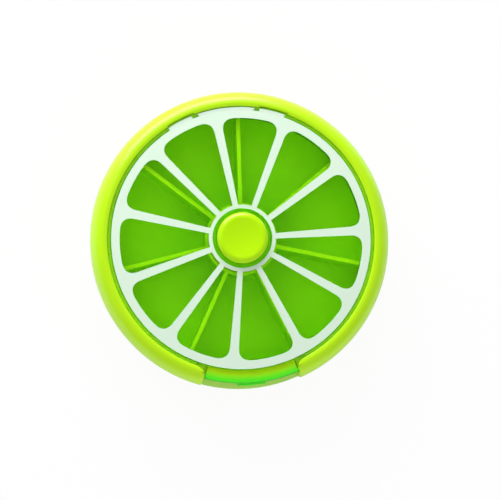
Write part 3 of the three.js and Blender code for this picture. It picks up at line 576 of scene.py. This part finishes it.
# Painted light: the lip's upper face, where it faces up at the front, is painted paler than the
# lime.
LIP_PAINTED_LIGHT = (0.76, 1.0, 0.22)
LIP_LIGHT_HEIGHTS = (LIP_TOP + 0.0004, LIP_TOP + 0.0001)
LIP_LIGHT_DEPTHS = (-0.0385, -0.0395)
LIP_LIGHT_FACING = (0.5, 0.9)
lime_shell = plastic("lime_shell", srgb(190, 242, 8), srgb(184, 238, 4), roughness=0.3)
tree = lime_shell.node_tree
spot = axes(tree, "Object")
# This mask picks the lip's upward front face, which gets the painted light.
low_down = ramp(tree, spot["Z"], *LIP_LIGHT_HEIGHTS)
in_front = ramp(tree, spot["Y"], *LIP_LIGHT_DEPTHS)
upward = ramp(tree, axes(tree, "Normal")["Z"], *LIP_LIGHT_FACING)
lip_light_mask = calculate(tree, "MULTIPLY", calculate(tree, "MULTIPLY", low_down, in_front), upward)
lip_painted_light_color = mix_colors(tree, lip_light_mask, tree.nodes["skin"].outputs["Color"], (*LIP_PAINTED_LIGHT, 1))
fill_inputs(tree, tree.nodes["Principled BSDF"], {"Base Color": lip_painted_light_color})
base.data.materials.append(lime_shell)
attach(base, "base")
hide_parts("base_shell")

# The screws are zinc-plated steel, each with a domed head and a cross recess. Four hold the rim
# ring from below, and one with a washer holds the spindle. Each share is part of the screw's size.
SCREW_RADIUS = 0.0008
HEAD_HEIGHT = 0.0012
HEAD_STRAIGHT_SHARE = 0.35
HEAD_DOMED_SHARE = 0.65
HEAD_STEPS = 8
THREAD_SHARE = 0.93
TIP_SHARE = 0.6
RECESS_REACH_SHARE = 0.62
RECESS_WIDTH_SHARE = 0.2
RECESS_DEPTH_SHARE = 0.6


def screw(name, length, head, seat, place=(0, 0)):
    """A screw that points up, with its head below its seat."""
    profile = [
        (0, -length),
        (TIP_SHARE * SCREW_RADIUS, -length),
        (SCREW_RADIUS, -THREAD_SHARE * length),
        (SCREW_RADIUS, 0),
        (head, 0),
        *ellipse(
            (0, HEAD_STRAIGHT_SHARE * HEAD_HEIGHT),
            (head, HEAD_DOMED_SHARE * HEAD_HEIGHT),
            0,
            90,
            steps=HEAD_STEPS,
        ),
    ]
    piece = spin_up(name, [(r, seat - h) for r, h in profile], steps=POST_STEPS)
    long, short = RECESS_REACH_SHARE * head, RECESS_WIDTH_SHARE * head
    head_bottom = seat - HEAD_HEIGHT
    recess_top = head_bottom + RECESS_DEPTH_SHARE * HEAD_HEIGHT
    for x, y in ((long, short), (short, long)):
        outline = [(-x, -y), (x, -y), (x, y), (-x, y)]
        combine(piece, raise_up("recess", outline, head_bottom - OVERRUN, recess_top), "DIFFERENCE")
    piece.data.transform(Matrix.Translation((place[0], place[1], 0)))
    soften(piece)
    return piece


RIM_SCREW_LENGTH = 0.009
RIM_SCREW_HEAD = 0.00145
screw_steel = metal("screw_steel", srgb(196, 198, 200), roughness=0.34, grain_scale=3000)
for number, place in enumerate(SCREW_PLACES, 1):
    rim_screw = screw(
        f"rim_screw_head_{number}", RIM_SCREW_LENGTH, RIM_SCREW_HEAD, HEAD_SEAT, place
    )
    rim_screw.data.materials.append(screw_steel)
    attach(rim_screw, "base")
    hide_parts(f"rim_screw_{number}")

WASHER_RADIUS = 0.0028
WASHER_THICKNESS = 0.0004
WASHER_ROUND = 0.0001
WASHER_STEPS = 64
SPINDLE_SCREW_LENGTH = 0.0065
SPINDLE_SCREW_HEAD = 0.0022
washer_seat = SCREW_RECESS_TOP - WASHER_THICKNESS
washer = spin_up("spindle_screw_washer", rounded([
    (CENTRE_HOLE, washer_seat, 0),
    (WASHER_RADIUS, washer_seat, WASHER_ROUND),
    (WASHER_RADIUS, SCREW_RECESS_TOP, WASHER_ROUND),
    (CENTRE_HOLE, SCREW_RECESS_TOP, 0),
]), steps=WASHER_STEPS)
soften(washer)
washer.data.materials.append(screw_steel)
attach(washer, "base")
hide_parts("center_washer")
spindle_screw = screw("spindle_screw", SPINDLE_SCREW_LENGTH, SPINDLE_SCREW_HEAD, washer_seat)
spindle_screw.data.materials.append(screw_steel)
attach(spindle_screw, "base")
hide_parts("center_screw")

# The pieces inside the hub are plain white acetal: the spindle and its thrust washer, the drive
# wheel, the springy pawl ring and the button's stem. They keep their solids.
white_plastic = plastic("white_plastic", srgb(240, 240, 234), srgb(232, 233, 226), roughness=0.4)
for name in ("spindle", "tray_washer", "drive_wheel", "pawl_ring", "button_stem"):
    repaint(name, white_plastic)

# The index spring is one strip of spring steel, screwed to the floor under the tray. The coil
# spring between the drive wheel and the button is wound from round wire of the same steel.
spring_steel = metal("spring_steel", srgb(205, 207, 211), roughness=0.22, grain_scale=5000)
repaint("click_spring", spring_steel)
repaint("click_spring_screw", screw_steel)
COIL_TURNS = 6
COIL_STEPS = 32
WIRE_RADIUS = 0.0003
WIRE_STEPS = 12
coil_low, coil_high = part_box("return_spring")
coil_radius = coil_high.x - WIRE_RADIUS
coil_bottom = coil_low.z + WIRE_RADIUS
coil_rise = coil_high.z - WIRE_RADIUS - coil_bottom
wire = [
    Vector((coil_radius + x, 0, coil_bottom + z))
    for x, z in arc(WIRE_RADIUS, 0, 2 * math.pi, WIRE_STEPS)[:-1]
]
coil = draw("button_coil_spring", [*wire, wire[0]])
bpy.ops.mesh.remove_doubles(threshold=MERGE_DISTANCE)
bpy.ops.object.mode_set(mode="OBJECT")
winding = coil.modifiers.new("winding", "SCREW")
winding.axis = "Z"
winding.angle = 2 * math.pi
winding.screw_offset = coil_rise / COIL_TURNS
winding.iterations = COIL_TURNS
winding.steps = winding.render_steps = COIL_STEPS
bpy.ops.object.modifier_apply(modifier=winding.name)
bpy.ops.object.mode_set(mode="EDIT")
bpy.ops.mesh.select_all(action="DESELECT")
bpy.ops.mesh.select_mode(type="EDGE")
bpy.ops.mesh.select_non_manifold()
bpy.ops.mesh.edge_face_add()
bpy.ops.mesh.select_mode(type="VERT")
close_up()
soften(coil)
coil.data.materials.append(spring_steel)
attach(coil, "base")
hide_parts("return_spring")
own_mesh(coil)

# The tray is one lime moulding: a disc with a hub, seven dividers that grow out of it with a
# fillet, ratchet teeth inside the hub, and a notched rib below for the index spring.
WELLS = 7
TRAY_RADIUS = 0.0386
TRAY_FLOOR = 0.0014
TRAY_BOTTOM = 0.0052
TRAY_ROUND = 0.0001
HUB_OUTSIDE = 0.0108
HUB_INSIDE = 0.0096
HUB_BORE = 0.00493
HUB_ROUND = 0.0004
HUB_FILLET = 0.0012
HUB_INNER_FILLET = 0.0005
RIB_INSIDE = 0.015
RIB_OUTSIDE = 0.019
tray_low, tray_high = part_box("tray")
tray_top = TRAY_BOTTOM + TRAY_FLOOR
tray = spin_up("tray_moulding", rounded([
    (HUB_BORE, TRAY_BOTTOM, 0),
    (RIB_INSIDE, TRAY_BOTTOM, 0),
    (RIB_INSIDE, tray_low.z, EDGE),
    (RIB_OUTSIDE, tray_low.z, EDGE),
    (RIB_OUTSIDE, TRAY_BOTTOM, 0),
    (TRAY_RADIUS, TRAY_BOTTOM, TRAY_ROUND),
    (TRAY_RADIUS, tray_top, TRAY_ROUND),
    (HUB_OUTSIDE, tray_top, HUB_FILLET),
    (HUB_OUTSIDE, tray_high.z, HUB_ROUND),
    (HUB_INSIDE, tray_high.z, HUB_ROUND),
    (HUB_INSIDE, tray_top, HUB_INNER_FILLET),
    (HUB_BORE, tray_top, EDGE),
]))

FIRST_DIVIDER = math.radians(87.5)
DIVIDER_HALF = 0.0006
DIVIDER_FOOT = 0.0008
DIVIDER_CROWN = 0.00015
DIVIDER_INSET = 0.0003
DIVIDER_SINK = 0.00005
TOOTH_HEIGHT = 0.001
TOOTH_RISE = 0.0036
TOOTH_RAMP = math.radians(30)
NOTCH_WIDTH = 0.0038
sunk = tray_top - DIVIDER_SINK
root = sunk - TRAY_FLOOR / 2
spread = DIVIDER_HALF + 2 * DIVIDER_FOOT
divider_section = rounded([
    (-spread, root, 0),
    (spread, root, 0),
    (spread, sunk, 0),
    (DIVIDER_HALF, sunk, DIVIDER_FOOT),
    (DIVIDER_HALF, tray_high.z, DIVIDER_CROWN),
    (-DIVIDER_HALF, tray_high.z, DIVIDER_CROWN),
    (-DIVIDER_HALF, sunk, DIVIDER_FOOT),
    (-spread, sunk, 0),
])
hub_middle = (HUB_OUTSIDE + HUB_INSIDE) / 2
divider_length = TRAY_RADIUS - DIVIDER_INSET - hub_middle
tooth_bottom = tray_top - TRAY_FLOOR / 2
well_angles = [FIRST_DIVIDER + number * 2 * math.pi / WELLS for number in range(WELLS)]
for angle in well_angles:
    section = [around(hub_middle, y, z, angle) for y, z in divider_section]
    combine(tray, pull("divider", section, around(divider_length, 0, 0, angle)), "UNION")
    tooth = [
        polar(hub_middle, angle),
        polar(HUB_INSIDE - TOOTH_HEIGHT, angle),
        polar(HUB_INSIDE - TOOTH_HEIGHT / 2, angle + TOOTH_RAMP / 2),
        polar(HUB_INSIDE + EDGE, angle + TOOTH_RAMP),
        polar(hub_middle, angle + TOOTH_RAMP / 2),
    ]
    combine(tray, raise_up("tooth", tooth, tooth_bottom, tray_top + TOOTH_RISE), "UNION")
rib_middle = (RIB_INSIDE + RIB_OUTSIDE) / 2
notch_reach = RIB_OUTSIDE - rib_middle + EDGE
notch_outline = [
    (rib_middle + x * notch_reach, y * NOTCH_WIDTH / 2)
    for x, y in ((-1, -1), (1, -1), (1, 1), (-1, 1))
]
for angle in well_angles:
    notch = plan_around(notch_outline, angle)
    combine(tray, raise_up("notch", notch, tray_low.z - OVERRUN, TRAY_BOTTOM), "DIFFERENCE")
soften(tray)

# Painted light and highlight: paler lime outwards to the rim and on the dividers' tops.
WALL_PAINTED_LIGHT = srgb(226, 255, 34)
WALL_LIGHT_RADII = (0.016, 0.037)
TOP_PAINTED_HIGHLIGHT = srgb(246, 255, 60)
TOP_HIGHLIGHT_DEPTH = 0.0006
lime_tray = plastic("lime_tray", srgb(192, 235, 24), srgb(187, 231, 18), roughness=0.3)
tree = lime_tray.node_tree
# Painted light grows outwards, and a painted highlight lies on the dividers' tops.
outward_light = ramp(tree, plan_radius(tree), *WALL_LIGHT_RADII)
well_painted_light = mix_colors(tree, outward_light, tree.nodes["skin"].outputs["Color"], (*WALL_PAINTED_LIGHT, 1))
crest_highlight = ramp(tree, axes(tree, "Object")["Z"], tray_high.z - TOP_HIGHLIGHT_DEPTH, tray_high.z)
tray_painted_color = mix_colors(tree, crest_highlight, well_painted_light, (*TOP_PAINTED_HIGHLIGHT, 1))
fill_inputs(tree, tree.nodes["Principled BSDF"], {"Base Color": tray_painted_color})
tray.data.materials.append(lime_tray)
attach(tray, "tray")
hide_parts("tray")

# The rim ring is the shell's upper half, in the base's plastic. It carries the lid on a ledge, has
# two pockets for the lid's lugs at the back, and a cut-out with rounded corners for the flap.
LEDGE_INSIDE = 0.0386
LEDGE_BOTTOM = 0.0188
LEDGE_TOP = 0.0204
LID_EDGE_TOP = 0.0211
RING_WIDTH = 0.00545
RING_EDGE_SHARE = 0.7
RING_EDGE_ROUND = 0.0003
RING_BEVEL = 0.00018
CROWN_REACH = 0.0046
CROWN_STEPS = 24
SHOULDER_RISE = 0.005
ring_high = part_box("rim_ring")[1]
ring_inside = outer - RING_WIDTH
ring_edge = LID_EDGE_TOP + RING_EDGE_SHARE * (ring_high.z - LID_EDGE_TOP)
shoulder = seam + SHOULDER_RISE
crown_centre = (outer - CROWN_REACH, shoulder)
crown_rise = ring_high.z - shoulder
inner_reach = (CROWN_REACH - SHELL_WALL, crown_rise - SHELL_WALL)
under_crown = [(r, z) for r, z in ellipse(crown_centre, inner_reach, 0, 90) if z < LEDGE_BOTTOM]
ring = spin_up("rim_moulding", rounded([
    (chamber, seam, 0),
    (chamber, LEDGE_BOTTOM, 0),
    (LEDGE_INSIDE, LEDGE_BOTTOM, EDGE),
    (LEDGE_INSIDE, LEDGE_TOP, EDGE),
    (ring_inside, LEDGE_TOP, 0),
    (ring_inside, ring_edge, RING_EDGE_ROUND),
    *sharp(ellipse(crown_centre, (CROWN_REACH, crown_rise), 90, 0, steps=CROWN_STEPS)),
    (outer, seam, EDGE),
    (outer - SHELL_WALL, seam, 0),
    *sharp(under_crown),
    (under_crown[-1][0], LEDGE_BOTTOM, 0),
    (chamber_outside, LEDGE_BOTTOM, 0),
    (chamber_outside, seam, 0),
]))
RING_BOSS_RADIUS = 0.0019
RING_BOSS_SINK = 0.0005
RING_HOLE_TOP = 0.0151
boss_room = [
    (chamber + EDGE, seam),
    (outer - SHELL_WALL, seam),
    (outer - SHELL_WALL, LEDGE_TOP),
    (chamber + EDGE, LEDGE_TOP),
]
for place in SCREW_PLACES:
    boss = post("ring_boss", RING_BOSS_RADIUS, seam, LEDGE_BOTTOM + RING_BOSS_SINK, place)
    combine(boss, spin_up("boss_space", boss_room), "INTERSECT")
    combine(ring, boss, "UNION")
    hole = post("ring_hole", SHANK_HOLE, seam - OVERRUN, RING_HOLE_TOP, place)
    combine(ring, hole, "DIFFERENCE")
CUTOUT_ROUND = 0.003
far = outer + OVERRUN
near = LEDGE_INSIDE - OVERRUN
above = ring_high.z + OVERRUN
exit_outline = sector(near, far, FRONT, EXIT_HALF)
combine(ring, raise_up("exit", exit_outline, seam - OVERRUN, above), "DIFFERENCE")
round_angle = CUTOUT_ROUND / ring_inside
wide = EXIT_HALF + round_angle


def cutout_corner(side):
    """The curve from the cut-out's straight side into the ring's inner edge."""
    edge = FRONT + side * EXIT_HALF
    start = Vector(polar(ring_inside + CUTOUT_ROUND, edge))
    corner = Vector(polar(ring_inside, edge))
    return bend(start, corner, Vector(polar(ring_inside, edge + side * round_angle)))


cutout = [
    *arc(far, FRONT - EXIT_HALF, FRONT + EXIT_HALF),
    *cutout_corner(1),
    *arc(near, FRONT + wide, FRONT - wide),
    *reversed(cutout_corner(-1)),
]
combine(ring, raise_up("cutout", cutout, LEDGE_BOTTOM + OVERRUN, above), "DIFFERENCE")
LUGS_CENTRE = 92.5
LUGS_APART = 20.6
LUG_MIDDLES = [math.radians(LUGS_CENTRE + side * LUGS_APART) for side in (-1, 1)]
LUG_HALF = math.radians(5.85)
LUG_REACH = 0.0003
LUG_GAP = 0.0002
LUG_SIDE_GAP = math.radians(0.45)
LID_GAP = 0.00015
lid_radius = ring_inside - LID_GAP
pocket_radius = lid_radius + LUG_REACH + LUG_GAP
for middle in LUG_MIDDLES:
    pocket = sector(LEDGE_INSIDE + EDGE, pocket_radius, middle, LUG_HALF + LUG_SIDE_GAP)
    combine(ring, raise_up("pocket", pocket, LEDGE_TOP, above), "DIFFERENCE")
soften(ring, RING_BEVEL)
ring.data.materials.append(lime_shell)
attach(ring, "base")
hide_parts("rim_ring")

# The lid is a thin dome of clear green plastic with a hole for the button, two lugs at the back and
# a shallow notch at the front, where the flap's plate meets it.
LID_THICKNESS = 0.00124
LID_RIM = 0.00064
LID_RIM_ROUND = 0.0003
LID_ROUND = 0.0002
LID_DOME = 0.0015
LID_HOLE = 0.0078
DOME_STEPS = 24
LUG_INSET = 0.00005
FLAP_SEAM_RADIUS = 0.0385
CLEAR_TINT = (0.71, 0.996, 0.03, 1)
TINT_DENSITY = 1100


def dome(radius):
    """Height of the lid's upper face at a radius."""
    return LID_EDGE_TOP + LID_DOME * (1 - min(radius / LEDGE_INSIDE, 1) ** 2)


dome_width = LEDGE_INSIDE - LID_HOLE
dome_radii = [LID_HOLE + dome_width * i / DOME_STEPS for i in range(DOME_STEPS + 1)]
lid_rim_bottom = LID_EDGE_TOP - LID_RIM
lid = spin_up("lid_moulding", rounded([
    (LID_HOLE, dome(LID_HOLE), LID_ROUND),
    *sharp([(r, dome(r)) for r in dome_radii[1:]]),
    (lid_radius, LID_EDGE_TOP, LID_RIM_ROUND),
    (lid_radius, lid_rim_bottom, LID_ROUND),
    (LEDGE_INSIDE - LID_GAP, lid_rim_bottom, 0),
    *sharp([(r, dome(r) - LID_THICKNESS) for r in reversed(dome_radii[1:-1])]),
    (LID_HOLE, dome(LID_HOLE) - LID_THICKNESS, LID_ROUND),
]))
for middle in LUG_MIDDLES:
    lug_outline = sector(LEDGE_INSIDE + EDGE, lid_radius + LUG_REACH, middle, LUG_HALF)
    lug = raise_up("lug", lug_outline, lid_rim_bottom + LUG_INSET, LID_EDGE_TOP - LUG_INSET)
    combine(lid, lug, "UNION")
front_outline = sector(FLAP_SEAM_RADIUS, lid_radius + OVERRUN, FRONT, EXIT_HALF)
front_bottom = LID_EDGE_TOP - 2 * LID_THICKNESS
front_notch = raise_up("notch", front_outline, front_bottom, LID_EDGE_TOP + LID_DOME)
combine(lid, front_notch, "DIFFERENCE")
soften(lid)
clear_green = plastic(
    "clear_green",
    (1.0, 1.0, 1.0),
    (0.99, 1.0, 0.98),
    roughness=0.04,
    waves=0.005,
    transmission=1.0,
    ior=1.3,
)
tree = clear_green.node_tree
tint = add_node(tree, "VolumeAbsorption", {"Color": CLEAR_TINT, "Density": TINT_DENSITY})
fill_inputs(tree, tree.nodes["Material Output"], {"Volume": tint.outputs["Volume"]})
lid.data.materials.append(clear_green)
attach(lid, "base")
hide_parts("lid")

# The fruit slice is a white printed film on the lid: a rind, eleven spokes that widen outwards, and
# a ring round the button's hole. Its eleven windows have rounded outer corners. Three tongues carry
# the film on to the lid's edge at the back, beside and between the lugs.
SEGMENTS = 11
FILM_LIFT = 0.00006
FILM_THICKNESS = 0.00018
FILM_HOLE = 0.0088
EYE_RADIUS = 0.0099
TONGUES = ((66.8, 78.2), (80.4, 105.5), (108.3, 119.7))
TONGUE_RADIUS = 0.03925
TONGUE_DROP = 0.00001
RIND = 0.00246
SPOKE_WIDTH = 0.0016
SPOKE_SPREAD = 0.00115
SEGMENT_CORNER = 0.0038
EYE_STEPS = 6
RIND_STEPS = 8
film_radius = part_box("slice_print")[1].x
rind_inside = film_radius - RIND
film = spin_up("slice_ink", [
    *[(r, dome(r) + FILM_LIFT) for r in dome_radii],
    *[(r, dome(r) + FILM_LIFT + FILM_THICKNESS) for r in reversed(dome_radii)],
])


def window(middle):
    """The outline of one window between two spokes."""
    half = math.pi / SEGMENTS
    slope = SPOKE_SPREAD / (rind_inside - EYE_RADIUS)

    def side(radius):
        spoke = SPOKE_WIDTH + slope * (radius - EYE_RADIUS)
        return Vector((
            radius * math.cos(half) + spoke / 2 * math.cos(half - math.pi / 2),
            radius * math.sin(half) + spoke / 2 * math.sin(half - math.pi / 2),
        ))

    def angle_of(point):
        return math.atan2(point.y, point.x)

    tip = side(rind_inside)
    arc_end = angle_of(tip) - SEGMENT_CORNER / rind_inside
    corner_end = Vector(polar(rind_inside, arc_end))
    upper = [
        *arc(EYE_RADIUS, 0, angle_of(side(EYE_RADIUS)), EYE_STEPS),
        *bend(side(rind_inside - SEGMENT_CORNER), tip, corner_end),
        *arc(rind_inside, arc_end, 0, RIND_STEPS)[1:],
    ]
    lower = [(x, -y) for x, y in reversed(upper[1:-1])]
    return plan_around([*upper, *lower], middle)


pattern_low = LID_EDGE_TOP - OVERRUN
pattern_high = LID_EDGE_TOP + LID_DOME + OVERRUN
trim = spin_up("film_trim", [
    (FILM_HOLE, pattern_low),
    (film_radius, pattern_low),
    (film_radius, pattern_high),
    (FILM_HOLE, pattern_high),
])
combine(film, trim, "INTERSECT")
tongue_bottom = dome(film_radius) + FILM_LIFT - TONGUE_DROP
for start, end in TONGUES:
    tongue_middle, tongue_half = math.radians((start + end) / 2), math.radians((end - start) / 2)
    outline = sector(film_radius - EDGE, TONGUE_RADIUS, tongue_middle, tongue_half)
    tongue = raise_up("tongue", outline, tongue_bottom, tongue_bottom + FILM_THICKNESS)
    combine(film, tongue, "UNION")
for number in range(SEGMENTS):
    middle = (number + 0.5) * 2 * math.pi / SEGMENTS
    combine(film, raise_up("window", window(middle), pattern_low, pattern_high), "DIFFERENCE")
soften(film)
white_ink = plastic(
    "white_ink", srgb(222, 243, 222), srgb(216, 239, 218), roughness=0.42, waves=0.03
)
film.data.materials.append(white_ink)
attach(film, "base")
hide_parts("slice_print")

# The button is a lime cap with a rounded rim and a shallow dish for the fingertip. A flange below
# the lid keeps it in, and a socket inside takes the stem.
BUTTON_RADIUS = 0.0075
BUTTON_ROUND = 0.0016
BUTTON_DISH = 0.0005
BUTTON_WALL = 0.0013
BUTTON_STEPS = 96
FLANGE_THICKNESS = 0.001
FLANGE_FILLET = 0.0003
CAP_UNDERSIDE = 0.02333
SOCKET_INSIDE = 0.00278
SOCKET_OUTSIDE = 0.00388
SOCKET_BOTTOM = 0.02123
cap_low, cap_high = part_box("button_cap")
flange_radius = cap_high.x
flange_bottom = cap_low.z
flange_top = flange_bottom + FLANGE_THICKNESS
dish_radius = BUTTON_RADIUS - BUTTON_ROUND
dish_shares = [i / CURVE_STEPS for i in range(1, CURVE_STEPS + 1)]
dish = [
    (dish_radius * (1 - t), cap_high.z - BUTTON_DISH * (1 - (1 - t) ** 2)) for t in dish_shares
]
cap_rim = ellipse((dish_radius, cap_high.z - BUTTON_ROUND), (BUTTON_ROUND, BUTTON_ROUND), 0, 90)
cap = spin_up("button_moulding", rounded([
    (0, CAP_UNDERSIDE, 0),
    (SOCKET_INSIDE, CAP_UNDERSIDE, 0),
    (SOCKET_INSIDE, SOCKET_BOTTOM, 0),
    (SOCKET_OUTSIDE, SOCKET_BOTTOM, 0),
    (SOCKET_OUTSIDE, CAP_UNDERSIDE, 0),
    (BUTTON_RADIUS - BUTTON_WALL, CAP_UNDERSIDE, 0),
    (BUTTON_RADIUS - BUTTON_WALL, flange_bottom, 0),
    (flange_radius, flange_bottom, EDGE),
    (flange_radius, flange_top, EDGE),
    (BUTTON_RADIUS, flange_top, FLANGE_FILLET),
    *sharp(cap_rim),
    *sharp(dish),
]), steps=BUTTON_STEPS)
soften(cap)
lime_button = plastic("lime_button", srgb(188, 243, 4), srgb(182, 239, 1), roughness=0.18)
cap.data.materials.append(lime_button)
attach(cap, "button")
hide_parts("button_cap")

# The exit flap is one clear green moulding: a plate that carries on the lid, a skirt down the front
# with a thumb tab at its foot, and two stub pins that turn in the ring.
FLAP_HALF = math.radians(19.05)
FLAP_TOP = 0.0203
FLAP_PLATE = 0.0011
FLAP_INSIDE = 0.0387
PLATE_ROUND = 0.0001
SKIRT_INSIDE = 0.04175
SKIRT_OUTSIDE = 0.04265
SKIRT_FILLET = 0.0005
SKIRT_ROUND = 0.0002
SHOULDER_ROUND = 0.0004
flap_low, flap_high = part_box("exit_flap")
flap = sweep("flap_moulding", rounded([
    (FLAP_INSIDE, FLAP_TOP - FLAP_PLATE, PLATE_ROUND),
    (SKIRT_INSIDE, FLAP_TOP - FLAP_PLATE, SKIRT_FILLET),
    (SKIRT_INSIDE, flap_low.z, SKIRT_ROUND),
    (SKIRT_OUTSIDE, flap_low.z, SKIRT_ROUND),
    (SKIRT_OUTSIDE, FLAP_TOP, SHOULDER_ROUND),
    (FLAP_INSIDE, FLAP_TOP, PLATE_ROUND),
]), FRONT, FLAP_HALF)
TAB_MIDDLE = FRONT + math.radians(0.7)
TAB_HALF = math.radians(5.6)
TAB_REACH = 0.00125
TAB_HEIGHT = 0.0026
TAB_LIFT = 0.00003
TAB_FOOT_ROUND = 0.0003
TAB_TOP_ROUND = 0.0005
skirt_middle = (SKIRT_INSIDE + SKIRT_OUTSIDE) / 2
tab_radius = SKIRT_OUTSIDE + TAB_REACH
tab_bottom = flap_low.z + TAB_LIFT
tab_top = flap_low.z + TAB_HEIGHT
tab = sweep("tab", rounded([
    (skirt_middle, tab_bottom, 0),
    (tab_radius, tab_bottom, TAB_FOOT_ROUND),
    (tab_radius, tab_top, TAB_TOP_ROUND),
    (skirt_middle, tab_top, 0),
]), TAB_MIDDLE, TAB_HALF)
combine(flap, tab, "UNION")
PIN_RADIUS = 0.0004
PIN_FROM = 0.0126
PIN_STEPS = 24
hinge = next(j for j in frame["joints"] if j["name"] == "flap_hinge")
hinge_place = Vector(hinge["pos_m"])
pin_outline = arc(PIN_RADIUS, 0, 2 * math.pi, PIN_STEPS)[:-1]
for start, end in ((-PIN_FROM, flap_low.x), (PIN_FROM, flap_high.x)):
    pin = [hinge_place + Vector((start, y, z)) for y, z in pin_outline]
    combine(flap, pull("pin", pin, Vector((end - start, 0, 0))), "UNION")
soften(flap)

# Its green deepens outwards, with a painted dark line: painted shade where the skirt's edge bends
# the light away. Each row below is a distance from the box's axis and the green or shade there.
PLATE_GREEN = (0.58, 1.0, 0.01)
SKIRT_GREEN = (0.12, 1.0, 0.03)
EDGE_PAINTED_SHADE = (0.06, 0.68, 0.03)
GREENS_AND_PAINTED_SHADE = (
    (0.0397, PLATE_GREEN),
    (0.0417, SKIRT_GREEN),
    (0.0423, SKIRT_GREEN),
    # The next two rows are the painted shade of the skirt's edge.
    (0.04245, EDGE_PAINTED_SHADE),
    (0.04268, EDGE_PAINTED_SHADE),
    (0.0428, SKIRT_GREEN),
)
DEEP_SHARE = 0.97
flap_green = plastic(
    "flap_green",
    PLATE_GREEN,
    [DEEP_SHARE * c for c in PLATE_GREEN],
    roughness=0.06,
    waves=0.005,
    transmission=0.2,
    ior=1.35,
)
tree = flap_green.node_tree
across = ramp(tree, plan_radius(tree), FLAP_INSIDE, tab_radius)
greens_and_shade = add_node(tree, "ValToRGB", {"Fac": across})
stops = greens_and_shade.color_ramp.elements
stops.remove(stops[1])
for number, (distance, green) in enumerate(GREENS_AND_PAINTED_SHADE):
    share = (distance - FLAP_INSIDE) / (tab_radius - FLAP_INSIDE)
    stop = stops.new(share) if number else stops[0]
    stop.position = share
    stop.color = (*green, 1)
fill_inputs(tree, tree.nodes["Principled BSDF"], {"Base Color": greens_and_shade.outputs["Color"]})
flap.data.materials.append(flap_green)
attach(flap, "flap")
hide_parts("exit_flap")
